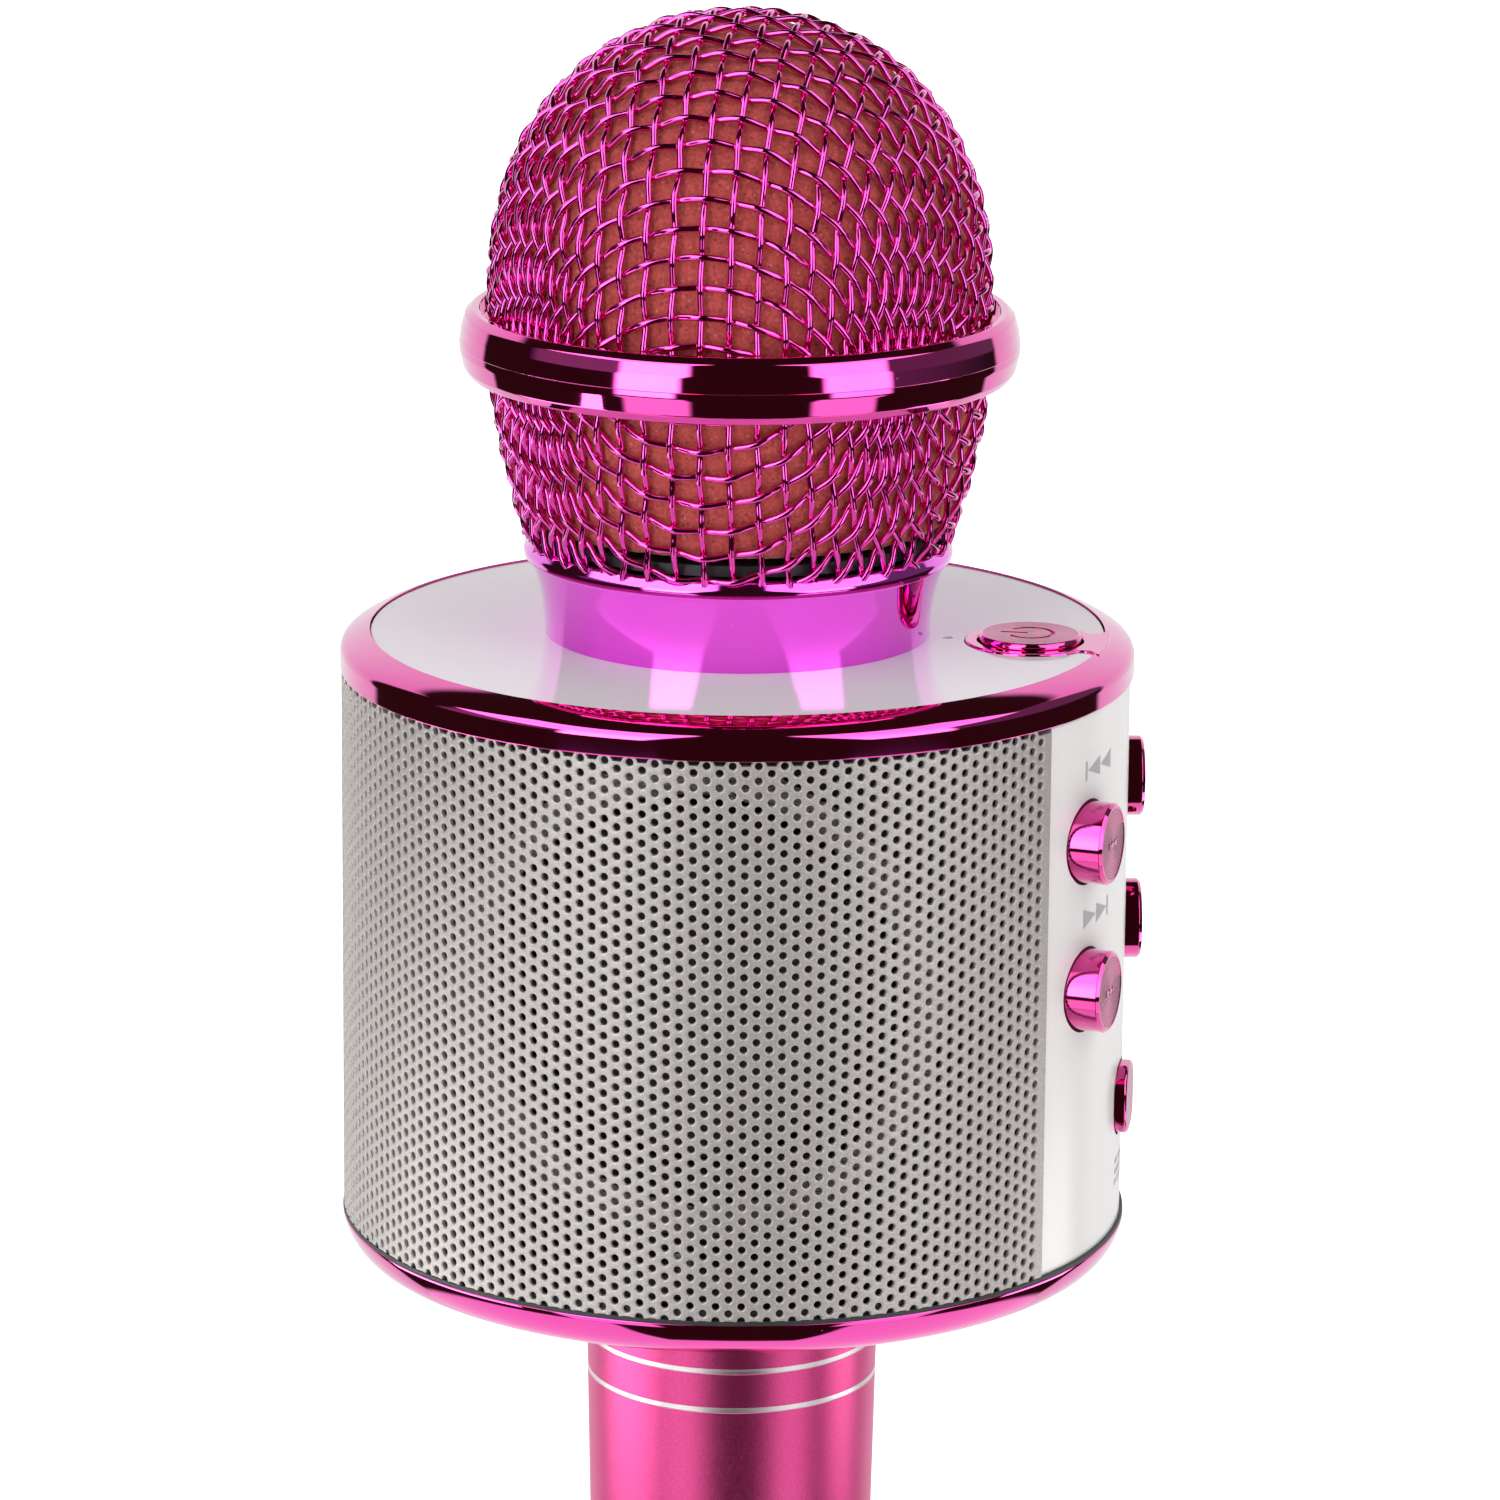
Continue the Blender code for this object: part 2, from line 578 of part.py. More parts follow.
def make_sockets():
    """Socket panel with its data, card, audio and charging sockets on one small board."""
    panel = curved_wall("socket_panel", PANEL_RADIUS, PANEL_THICKNESS, GRILLE_LOW, GRILLE_HIGH,
                        pi - SOCKET_HALF_ANGLE, pi + SOCKET_HALF_ANGLE, 6, "white")
    make_socket("data_socket", 0.1630, 0.0057, 0.0131, 0.0120, 0.0004, 0.0018, panel)
    make_socket("card_socket", 0.1485, 0.0020, 0.0126, 0.0120, 0.0003, 0.0, panel)
    make_socket("charge_socket", 0.1260, 0.0028, 0.0078, 0.0056, 0.0003, 0.0008, panel)
    front, bore, barrel, flange = -0.0404, 0.0018, 0.0025, 0.0029
    jack = turned("audio_socket", [
        (flange, 0.0), (flange, -0.0020), (barrel, -0.0020), (barrel, -0.0125),
        (bore, -0.0125), (bore, 0.0),
    ], SMALL_STEPS, "steel")
    face_outwards(jack, pi, 0.1368, -front)
    opening = cylinder("audio_opening", flange + GAP, -0.005, 0.005)
    face_outwards(opening, pi, 0.1368, -front)
    boolean(panel, opening)
    box("socket_board", (-0.0385, 0.0032, 0.1205), (-0.0240, 0.0044, 0.1725), "board")


# ---- Top of the body ------------------------------------------------------------------
def make_top_bezel():
    """Rounded top ring that also carries the ring round the power button."""
    round_start = 0.1781
    outside = [(BODY_RADIUS, round_start), (BODY_RADIUS, TOP_BEZEL_LOW)]
    inside = [(LEDGE_RADIUS, TOP_BEZEL_LOW), (LEDGE_RADIUS, 0.1773), (BEZEL_INNER_RADIUS, 0.1773)]
    crown = quarter_round(BODY_RADIUS, BEZEL_INNER_RADIUS, round_start, TOP_BEZEL_HIGH, 4)
    bezel = turned("top_bezel", outside + inside + crown[:0:-1], RING_STEPS, "plating")
    ring = cylinder("power_ring", POWER_BEZEL_RADIUS, 0.1770, TOP_BEZEL_HIGH, None, 24)
    ring.location.x = POWER_X
    boolean(bezel, ring, "UNION")
    half = POWER_BRIDGE_WIDTH / 2
    bridge = box("power_bridge", (POWER_X + 0.004, -half, 0.1771), (0.0395, half, 0.1798))
    boolean(bezel, bridge, "UNION")
    well = turned("power_well", [
        (0.0, 0.1850), (POWER_CAP_RADIUS + GAP, 0.1850), (POWER_CAP_RADIUS + GAP, 0.1780),
        (0.0065, 0.1780), (0.0065, 0.1750), (0.0, 0.1750),
    ], 24, closed=False)
    well.location.x = POWER_X
    boolean(bezel, well)


def make_top_plate():
    """Glossy plate between the top ring and the collar, cut round the power button's ring."""
    outer = BEZEL_INNER_RADIUS - GAP
    plate = turned("top_plate", [
        (outer, PLATE_HIGH), (outer, PLATE_LOW), (PLATE_HOLE_RADIUS, PLATE_LOW),
        (PLATE_HOLE_RADIUS, PLATE_HIGH),
    ], RING_STEPS, "white")
    clearing = cylinder("power_clearing", POWER_BEZEL_RADIUS + GAP, 0.170, 0.185, None, 24)
    clearing.location.x = POWER_X
    boolean(plate, clearing)
    half = POWER_BRIDGE_WIDTH / 2 + GAP
    boolean(plate, box("bridge_clearing", (POWER_X, -half, 0.170), (0.0450, half, 0.185)))
    led_hole = cylinder("led_hole", LED_RADIUS + GAP, 0.170, 0.185, None, 12)
    led_hole.location.x = LED_X
    boolean(plate, led_hole)


def make_power_control():
    """Power button, its switch on a small board, and the indicator's light guide."""
    flange_radius, flange_top, flange_low = 0.0060, 0.1776, 0.1770
    stem_end, travel_room = 0.1747, 0.0005
    edge = 0.0004
    power = turned("power_button", [
        (0.0, POWER_TOP), (POWER_CAP_RADIUS - edge, POWER_TOP), (POWER_CAP_RADIUS, POWER_TOP - edge),
        (POWER_CAP_RADIUS, flange_top), (flange_radius, flange_top), (flange_radius, flange_low),
        (STEM_RADIUS, flange_low), (STEM_RADIUS, stem_end), (0.0, stem_end),
    ], 24, "plating", closed=False)
    power.location.x = POWER_X
    switch, offset = make_switch("power_switch")
    switch.location = (POWER_X, 0.0, stem_end + travel_room - SWITCH_TOP + offset)
    box("power_board", (POWER_X - 0.0055, -0.0060, 0.1706), (POWER_X + 0.0060, 0.0060, 0.1716),
        "board")
    guide = cylinder("indicator_lens", LED_RADIUS, 0.1762, 0.1796, "lens", 12)
    guide.location.x = LED_X


# ---- Head -----------------------------------------------------------------------------
def make_collar():
    """Plated neck that flares from the top plate up to a rounded lip under the mesh cup."""
    flare = []
    steps = 4
    for step in range(steps + 1):
        t = 1 - step / steps
        radius = COLLAR_BASE_RADIUS + (0.0220 - COLLAR_BASE_RADIUS) * t * t
        flare.append((radius, COLLAR_LOW + (COLLAR_FLARE_TOP - COLLAR_LOW) * t))
    spigot_radius, spigot_low = 0.0182, 0.1762
    lip = [(0.0212, COLLAR_HIGH), (0.0219, 0.1894), (COLLAR_LIP_RADIUS, 0.1886), (0.0223, 0.1878)]
    turned("collar", lip + flare + [
        (spigot_radius, COLLAR_LOW), (spigot_radius, spigot_low),
        (COLLAR_BORE_RADIUS, spigot_low), (COLLAR_BORE_RADIUS, COLLAR_CUP_LOW),
        (COLLAR_CUP_RADIUS, COLLAR_CUP_LOW), (COLLAR_CUP_RADIUS, COLLAR_HIGH),
    ], HEAD_STEPS, "plating")


def make_head_base():
    """Threaded base of the head, seated in the collar, with a flange under the mesh cup."""
    low, shoulder, high, bore = 0.1843, 0.1900, 0.1911, 0.0142
    turned("head_base", [
        (0.0211, high), (0.0211, shoulder), (0.0191, shoulder), (0.0191, low),
        (bore, low), (bore, high),
    ], 32, "black")


def make_mesh_cup():
    low, high, steps = 0.1901, 0.2068, 4
    heights = [high - (high - low) * i / steps for i in range(steps + 1)]
    outer = [(cup_radius(height), height) for height in heights]
    inner = [(cup_radius(height) - MESH_THICKNESS, height) for height in reversed(heights)]
    turned("mesh_cup", outer + inner, HEAD_STEPS, "wire")


def make_head_band():
    """Plated belt with a crease between its two facets and a rounded lower edge."""
    inner = 0.0254
    turned("head_band", [
        (0.0275, BAND_HIGH), (0.0285, 0.2133), (0.02907, BAND_CREASE), (0.0288, 0.2081),
        (0.0281, BAND_LOW), (inner, BAND_LOW), (inner, BAND_HIGH),
    ], HEAD_STEPS, "plating")


def make_mesh_dome():
    outer = dome_points(0.0, 9)
    inner = dome_points(MESH_THICKNESS, 6)
    turned("mesh_dome", outer + inner[::-1], HEAD_STEPS, "wire", closed=False)


def make_foam_liner():
    """Foam sock inside the mesh, open at the bottom round the capsule."""
    outer = dome_points(FOAM_CLEARANCE, 6)
    for height in (0.2065, 0.2000, FOAM_LOW):
        outer.append((cup_radius(height) - FOAM_CLEARANCE, height))
    inner = [(0.0155, FOAM_LOW), (0.0158, DOME_LOW)]
    inner += [point for point in dome_points(FOAM_CLEARANCE + FOAM_THICKNESS, 4)[::-1]
              if point[1] > DOME_LOW + 0.001]
    turned("foam_liner", outer + inner, 28, "foam", closed=False)


def make_capsule():
    """Microphone capsule on its rubber-edged holder."""
    turned("capsule_holder", [
        (0.0115, 0.2060), (0.0138, 0.2010), (0.0138, 0.1843), (0.0095, 0.1843), (0.0095, 0.2060),
    ], 24, "rubber")
    turned("mic_capsule", [
        (0.0, 0.2210), (0.0110, 0.2210), (0.0122, 0.2198), (0.0122, 0.2063), (0.0, 0.2063),
    ], 24, "steel", closed=False)


# ---- Assembly -------------------------------------------------------------------------
clear_scene()
PARTS = new_collection("karaoke_microphone")
CUTTERS = new_collection("cutters")

make_handle()
make_tail_cap()
make_battery()
make_handle_adapter()
make_bottom_cover()
make_bottom_bezel()
make_grilles()
make_chassis()
make_speaker("front_speaker", -1)
make_speaker("back_speaker", 1)
box("main_board", (-0.0215, -0.0006, 0.1220), (0.0240, 0.0006, 0.1710), "board")
make_controls()
make_sockets()
make_top_bezel()
make_top_plate()
make_power_control()
make_collar()
make_head_base()
make_mesh_cup()
make_head_band()
make_mesh_dome()
make_foam_liner()
make_capsule()
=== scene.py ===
"""The karaoke microphone's looks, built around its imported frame. Metres, +Z up."""
import json
from math import asin, atan2, copysign, cos, hypot, pi, radians, sin, sqrt, tan

import bmesh
import bpy
import numpy as np
from mathutils import Matrix, Vector


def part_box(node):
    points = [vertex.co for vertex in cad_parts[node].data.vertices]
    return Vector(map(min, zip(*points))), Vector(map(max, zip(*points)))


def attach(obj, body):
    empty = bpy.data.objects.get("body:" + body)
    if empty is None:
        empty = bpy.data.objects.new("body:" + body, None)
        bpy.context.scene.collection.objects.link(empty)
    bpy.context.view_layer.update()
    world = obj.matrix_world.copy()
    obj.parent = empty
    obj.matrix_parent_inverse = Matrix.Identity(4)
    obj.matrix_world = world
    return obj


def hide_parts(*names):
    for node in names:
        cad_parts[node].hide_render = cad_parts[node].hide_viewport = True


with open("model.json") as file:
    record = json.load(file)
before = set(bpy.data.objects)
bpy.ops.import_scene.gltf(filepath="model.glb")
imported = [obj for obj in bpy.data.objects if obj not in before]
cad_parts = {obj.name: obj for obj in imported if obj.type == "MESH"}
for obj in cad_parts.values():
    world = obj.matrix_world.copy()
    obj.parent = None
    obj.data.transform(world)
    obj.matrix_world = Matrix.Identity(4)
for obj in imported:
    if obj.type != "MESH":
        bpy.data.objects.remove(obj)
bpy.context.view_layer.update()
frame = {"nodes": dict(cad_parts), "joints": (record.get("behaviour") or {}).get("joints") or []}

MM = 0.001
MAIN = "microphone"


def node_low(name):
    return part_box(name)[0]


def node_high(name):
    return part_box(name)[1]


def node_centre(name):
    return [(low + high) / 2 for low, high in zip(*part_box(name))]


# ---- Places and sizes, read from the frame ---------------------------------------------
BODY_RADIUS = node_high("bottom_bezel").y
GRILLE_LOW, GRILLE_HIGH = node_low("front_grille").z, node_high("front_grille").z
TOP_BEZEL_LOW, TOP_BEZEL_HIGH = node_low("top_bezel").z, node_high("top_bezel").z
BOTTOM_BEZEL_LOW, BOTTOM_BEZEL_HIGH = node_low("bottom_bezel").z, node_high("bottom_bezel").z
PLATE_HIGH = node_high("top_plate").z
PLATE_LOW = node_low("top_plate").z
COLLAR_LOW = PLATE_HIGH
COLLAR_HIGH = node_high("collar").z
BAND_LOW, BAND_HIGH = node_low("head_band").z, node_high("head_band").z
BAND_RADIUS = node_high("head_band").y
DOME_LOW, DOME_HIGH = node_low("mesh_dome").z, node_high("mesh_dome").z
DOME_RADIUS = node_high("mesh_dome").y
HANDLE_LOW, HANDLE_HIGH = node_low("handle_tube").z, node_high("handle_tube").z
HANDLE_TOP_RADIUS = node_high("handle_tube").y
HANDLE_TAIL_RADIUS = node_high("tail_cap").y
FOAM_LOW = node_low("foam_liner").z
PANEL_RADIUS = BODY_RADIUS - 0.4 * MM
BEZEL_INNER_RADIUS = BODY_RADIUS - 3.1 * MM
POWER_X = node_centre("power_button")[0]
PANEL_HALF_ANGLE = asin(node_high("control_panel").y / PANEL_RADIUS)
SOCKET_HALF_ANGLE = asin(node_high("socket_panel").y / PANEL_RADIUS)
ROUND_PROUD, MODE_PROUD = 2.7 * MM, 1.1 * MM
COLUMN_ANGLE = radians(19.6)

CAMERA_AZIMUTH = radians(9.0)


# ---- Mesh helpers ----------------------------------------------------------------------
def mesh_from_arrays(name, vertices, face_groups):
    """Mesh from an (n, 3) array and a list of (count, corners) index arrays."""
    mesh = bpy.data.meshes.new(name)
    mesh.vertices.add(len(vertices))
    mesh.vertices.foreach_set("co", np.asarray(vertices, np.float32).ravel())
    groups = [np.asarray(g, np.int32) for g in face_groups if len(g)]
    sizes = np.concatenate([np.full(len(g), g.shape[1], np.int32) for g in groups])
    loops = np.concatenate([g.ravel() for g in groups])
    starts = np.concatenate([[0], np.cumsum(sizes)[:-1]]).astype(np.int32)
    mesh.loops.add(len(loops))
    mesh.loops.foreach_set("vertex_index", loops)
    mesh.polygons.add(len(sizes))
    mesh.polygons.foreach_set("loop_start", starts)
    mesh.update(calc_edges=True)
    mesh.validate()
    return mesh


def new_object(name, data, matrix=None):
    obj = bpy.data.objects.new(name, data)
    bpy.context.scene.collection.objects.link(obj)
    if matrix is not None:
        obj.matrix_world = matrix
    return obj


def new_piece(name, mesh, material, sharp_angle=35):
    obj = new_object(name, mesh)
    mesh.materials.clear()
    mesh.materials.append(material)
    shade(mesh, sharp_angle)
    return obj


def shade(mesh, sharp_angle=35):
    """Smooth shading, with edges over an angle in degrees kept sharp."""
    mesh.shade_smooth()
    mesh.set_sharp_from_angle(angle=radians(sharp_angle))


def fix_normals(mesh):
    shape = bmesh.new()
    shape.from_mesh(mesh)
    bmesh.ops.recalc_face_normals(shape, faces=shape.faces)
    shape.to_mesh(mesh)
    shape.free()


def lathe_mesh(name, profile, segments=160):
    """Turn (radius, height) points about Z, down the outer side. Radius 0 is a pole."""
    angles = np.arange(segments) * 2 * pi / segments
    vertices, rings = [], []
    for radius, height in profile:
        if radius == 0.0:
            rings.append(np.full(segments, len(vertices)))
            vertices.append((0.0, 0.0, height))
        else:
            rings.append(np.arange(segments) + len(vertices))
            vertices.extend(zip(radius * np.cos(angles), radius * np.sin(angles),
                                np.full(segments, height)))
    closed = profile[0][0] > 0.0
    pairs = list(zip(rings, rings[1:]))
    if closed:
        pairs.append((rings[-1], rings[0]))
    quads, triangles = [], []
    for upper, lower in pairs:
        next_upper, next_lower = np.roll(upper, -1), np.roll(lower, -1)
        if upper[0] == upper[1]:
            triangles.append(np.stack([upper, lower, next_lower], 1))
        elif lower[0] == lower[1]:
            triangles.append(np.stack([upper, lower, next_upper], 1))
        else:
            quads.append(np.stack([upper, lower, next_lower, next_upper], 1))
    return mesh_from_arrays(name, np.array(vertices), quads + triangles)


def rounded(points, closed=True, steps=5):
    """Round the corners of an outline. A third number on a point is its corner radius.

    A short straight run is kept at both ends of each round, so that flats shade flat.
    """
    result = []
    count = len(points)
    for i, point in enumerate(points):
        corner = Vector(point[:2])
        radius = point[2] if len(point) > 2 else 0.0
        if radius == 0.0 or (not closed and i in (0, count - 1)):
            result.append(tuple(corner))
            continue
        back = Vector(points[i - 1][:2]) - corner
        ahead = Vector(points[(i + 1) % count][:2]) - corner
        half = back.angle(ahead) / 2
        reach = min(radius / tan(half), 0.45 * back.length, 0.45 * ahead.length)
        hold = min(0.25 * reach, 0.04 * MM)
        start, end = corner + back.normalized() * reach, corner + ahead.normalized() * reach
        result.append(tuple(start + back.normalized() * hold))
        for step in range(steps + 1):
            t = step / steps
            weights = ((1 - t) ** 2, 2 * t * (1 - t), t ** 2)
            place = start * weights[0] + corner * weights[1] + end * weights[2]
            result.append(tuple(place))
        result.append(tuple(end + ahead.normalized() * hold))
    return result


def lathe_piece(name, profile, material, segments=160, closed=True):
    mesh = lathe_mesh(name, rounded(profile, closed), segments)
    return new_piece(name, mesh, material)


def offset(radius, height, points):
    """Profile points from one place, given in mm: out, up and, if rounded, a corner radius."""
    return [(radius + p[0] * MM, height + p[1] * MM, *[c * MM for c in p[2:]]) for p in points]


def apply_modifiers(obj):
    evaluated = obj.evaluated_get(bpy.context.evaluated_depsgraph_get())
    mesh = bpy.data.meshes.new_from_object(evaluated)
    obj.modifiers.clear()
    obj.data = mesh


def cut(obj, cutters):
    """Cut each cutter's shape away, then remove the cutters."""
    for cutter in cutters:
        step = obj.modifiers.new("cut", "BOOLEAN")
        step.operation = "DIFFERENCE"
        step.solver = "EXACT"
        step.object = cutter
    bpy.context.view_layer.update()
    apply_modifiers(obj)
    for cutter in cutters:
        bpy.data.objects.remove(cutter)


def outline_solid(name, loops, low, high, bevel=0.0, bevel_steps=3):
    """Flat outline with holes, as a block between two heights, with rounded edges."""
    curve = bpy.data.curves.new(name, "CURVE")
    curve.dimensions = "2D"
    curve.fill_mode = "BOTH"
    curve.extrude = (high - low) / 2 - bevel
    curve.bevel_depth = bevel
    curve.bevel_resolution = bevel_steps
    curve.offset = -bevel
    for loop in loops:
        spline = curve.splines.new("POLY")
        spline.points.add(len(loop) - 1)
        for point, (x, y) in zip(spline.points, loop):
            point.co = (x, y, 0.0, 1.0)
        spline.use_cyclic_u = True
    source = new_object(name, curve)
    bpy.context.view_layer.update()
    evaluated = source.evaluated_get(bpy.context.evaluated_depsgraph_get())
    mesh = bpy.data.meshes.new_from_object(evaluated)
    bpy.data.objects.remove(source)
    shape = bmesh.new()
    shape.from_mesh(mesh)
    bmesh.ops.remove_doubles(shape, verts=shape.verts, dist=0.002 * MM)
    bmesh.ops.translate(shape, vec=(0.0, 0.0, (high + low) / 2), verts=shape.verts)
    bmesh.ops.recalc_face_normals(shape, faces=shape.faces)
    shape.to_mesh(mesh)
    shape.free()
    mesh.materials.clear()
    return mesh


def outline_cutter(loop, low, high, matrix=None):
    return new_object("cutter", outline_solid("cutter", [loop], low, high), matrix)


def arc_between(centre, radius, start, end, count):
    return [(centre[0] + radius * cos(start + (end - start) * i / count),
             centre[1] + radius * sin(start + (end - start) * i / count)) for i in range(count + 1)]


def circle_points(centre_x, radius, count):
    return arc_between((centre_x, 0.0), radius, 0.0, 2 * pi, count)[:-1]


def rectangle(left, low, right, high):
    return [(left, low), (right, low), (right, high), (left, high)]


def facing_out(angle, height, radius):
    """Matrix with +Z pointing out from the Z axis, +Y up and +X to the viewer's right."""
    return (Matrix.Translation((radius * cos(angle), radius * sin(angle), height))
            @ Matrix.Rotation(pi / 2 + angle, 4, "Z") @ Matrix.Rotation(pi / 2, 4, "X"))


FINE_MESH = 20000    # vertices; a mesh this fine shades well without weighted normals


def crisp_normals(obj):
    """Weight shading by face area, so a flat face stays flat up to its small bevels."""
    if len(obj.data.vertices) < FINE_MESH:
        obj.modifiers.new("normals", "WEIGHTED_NORMAL").keep_sharp = True
        apply_modifiers(obj)


def mount_piece(obj, body, slot_name, *nodes):
    """Tie a finished piece to its body and hide the CAD nodes it stands for; the record slot it is
    given is not used.
    """
    crisp_normals(obj)
    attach(obj, body)
    if nodes:
        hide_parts(*nodes)


# ---- Material helpers ------------------------------------------------------------------
class NodeTree:
    """Short calls that add and link nodes in a tree."""

    def __init__(self, tree):
        self.tree = tree

    def node(self, kind, inputs=None, **settings):
        made = self.tree.nodes.new(kind)
        for key, value in settings.items():
            setattr(made, key, value)
        for key, value in (inputs or {}).items():
            self.feed(made.inputs[key], value)
        return made

    def feed(self, socket, value):
        if isinstance(value, bpy.types.NodeSocket):
            self.tree.links.new(value, socket)
        else:
            socket.default_value = value

    def maths(self, operation, a, b=0.0):
        return self.node("ShaderNodeMath", {0: a, 1: b}, operation=operation).outputs[0]


class Shader(NodeTree):
    """A material and the textures used in it."""

    SOCKETS = {"colour": "Base Color", "roughness": "Roughness", "metallic": "Metallic",
               "coat": "Coat Weight", "coat_roughness": "Coat Roughness", "coat_ior": "Coat IOR",
               "ior": "IOR", "normal": "Normal", "specular": "Specular IOR Level",
               "sheen": "Sheen Weight", "sheen_roughness": "Sheen Roughness",
               "transmission": "Transmission Weight"}

    def __init__(self, name):
        self.material = bpy.data.materials.new(name)
        self.material.use_nodes = True
        super().__init__(self.material.node_tree)
        self.surface = self.tree.nodes["Principled BSDF"]
        self.place = self.node("ShaderNodeTexCoord").outputs["Object"]

    def set(self, **values):
        for key, value in values.items():
            self.feed(self.surface.inputs[self.SOCKETS[key]], value)

    def stretched(self, scale):
        return self.node("ShaderNodeMapping", {"Vector": self.place, "Scale": scale}).outputs[0]

    def noise(self, scale, detail=3.0, roughness=0.5, place=None):
        made = self.node("ShaderNodeTexNoise", {"Vector": place or self.place, "Scale": scale,
                                                "Detail": detail, "Roughness": roughness})
        return made.outputs[0]

    def cells(self, scale, feature="F1"):
        return self.node("ShaderNodeTexVoronoi", {"Vector": self.place, "Scale": scale},
                         feature=feature)

    def chance(self, cells):
        """A random number for each cell."""
        return self.node("ShaderNodeSeparateColor", {"Color": cells.outputs["Color"]}).outputs[0]

    def dust(self, scale, size, rarity):
        """1 in a few small specks and 0 elsewhere."""
        specks = self.cells(scale)
        near = self.maths("LESS_THAN", specks.outputs["Distance"], size)
        return self.maths("MULTIPLY", near, self.maths("GREATER_THAN", self.chance(specks), rarity))

    def remap(self, value, low, high, to_low, to_high, smooth=False):
        made = self.node("ShaderNodeMapRange", {"Value": value, "From Min": low, "From Max": high,
                                                "To Min": to_low, "To Max": to_high})
        if smooth:
            made.interpolation_type = "SMOOTHSTEP"
        return made.outputs[0]

    def blend(self, factor, a, b):
        made = self.node("ShaderNodeMix", data_type="RGBA")
        self.feed(made.inputs[0], factor)
        for socket, value in ((made.inputs[6], a), (made.inputs[7], b)):
            self.feed(socket, (*value, 1.0) if isinstance(value, tuple) else value)
        return made.outputs[2]

    def bump(self, height, distance, strength=1.0, normal=None):
        inputs = {"Height": height, "Distance": distance, "Strength": strength}
        if normal is not None:
            inputs["Normal"] = normal
        return self.node("ShaderNodeBump", inputs).outputs[0]


PLATING = (0.96, 0.050, 0.47)


def plating(name, roughness=0.045, waviness=1.0, colour=PLATING):
    """Tinted chrome: mirror metal under lacquer, faint orange peel, hairlines and dust."""
    s = Shader(name)
    smudge = s.noise(70.0, 4.0)
    dust = s.dust(1500.0, 0.10, 0.988)
    hairlines = s.noise(900.0, 2.0, place=s.stretched((1.0, 1.0, 0.04)))
    peel = s.noise(160.0, 1.0)
    normal = s.bump(peel, 0.006 * MM * waviness)
    normal = s.bump(hairlines, 0.0012 * MM, 0.6, normal)
    tint = s.blend(s.remap(smudge, 0.3, 0.75, 0.0, 1.0), colour,
                   (colour[0] * 0.95, colour[1] * 1.3, colour[2] * 0.93))
    s.set(colour=s.blend(dust, tint, (0.85, 0.55, 0.72)), metallic=1.0,
          roughness=s.maths("ADD", s.remap(smudge, 0.35, 0.8, roughness * 0.6, roughness * 1.6),
                            s.maths("MULTIPLY", dust, 0.3)),
          coat=1.0, coat_roughness=0.03, coat_ior=1.5, normal=normal)
    return s.material


def spun_plating(name):
    """Plated face turned on a lathe: fine rings about the piece's own axis, with a painted highlight
    that colours each ring's crest lighter.
    """
    s = Shader(name)
    radius = s.node("ShaderNodeVectorMath", {0: s.stretched((1.0, 1.0, 0.0))}, operation="LENGTH")
    wobble = s.maths("MULTIPLY", s.noise(300.0, 1.0), 0.02 * MM)
    pitch = 0.30 * MM
    rings = s.maths("SINE", s.maths("MULTIPLY", s.maths("ADD", radius.outputs["Value"], wobble),
                                    2 * pi / pitch))
    normal = s.bump(rings, 0.012 * MM, 0.9)
    # painted highlight: each ring is coloured lighter at its crest than in its trough
    crest_highlight = s.remap(rings, -1.0, 1.0, 0.0, 1.0)
    s.set(colour=s.blend(crest_highlight, (0.50, 0.06, 0.22), (0.74, 0.13, 0.34)),
          metallic=1.0, roughness=s.remap(s.noise(400.0), 0.3, 0.7, 0.22, 0.28),
          coat=0.3, coat_roughness=0.1, normal=normal)
    return s.material


def anodised(name):
    """Bead-blasted aluminium with a pink anodised layer and a faint turned grain."""
    s = Shader(name)
    grain = s.noise(5200.0, 3.0, 0.65)
    turned = s.noise(1.0, 3.0, place=s.stretched((60.0, 60.0, 5200.0)))
    normal = s.bump(grain, 0.016 * MM, 0.75)
    normal = s.bump(turned, 0.006 * MM, 0.5, normal)
    tint = s.blend(s.remap(grain, 0.3, 0.7, 0.0, 1.0), (0.78, 0.070, 0.28), (0.95, 0.120, 0.40))
    cloudy = s.blend(s.remap(s.noise(45.0, 3.0), 0.3, 0.7, 0.0, 0.25), tint, (0.80, 0.075, 0.30))
    s.set(colour=cloudy, metallic=1.0, roughness=s.remap(grain, 0.3, 0.7, 0.30, 0.44),
          coat=0.15, coat_roughness=0.3, normal=normal)
    return s.material


def bare_metal(name, colour=(0.80, 0.78, 0.77), roughness=0.22, grain=3000.0):
    """Bright machined metal with a turned grain."""
    s = Shader(name)
    lines = s.noise(1.0, 2.0, place=s.stretched((80.0, 80.0, grain)))
    s.set(colour=s.blend(lines, tuple(c * 0.9 for c in colour), colour), metallic=1.0,
          roughness=s.remap(lines, 0.3, 0.7, roughness * 0.8, roughness * 1.3),
          normal=s.bump(lines, 0.003 * MM, 0.5))
    return s.material


def grille_paint(name):
    """Fine metallic paint with a visible grain."""
    s = Shader(name)
    grain = s.noise(7500.0, 3.0, 0.7)
    tone = s.blend(s.chance(s.cells(9000.0)), (0.43, 0.400, 0.386), (0.58, 0.545, 0.527))
    s.set(colour=tone, metallic=0.7, roughness=s.remap(grain, 0.3, 0.7, 0.42, 0.56),
          normal=s.bump(grain, 0.012 * MM, 0.7))
    return s.material


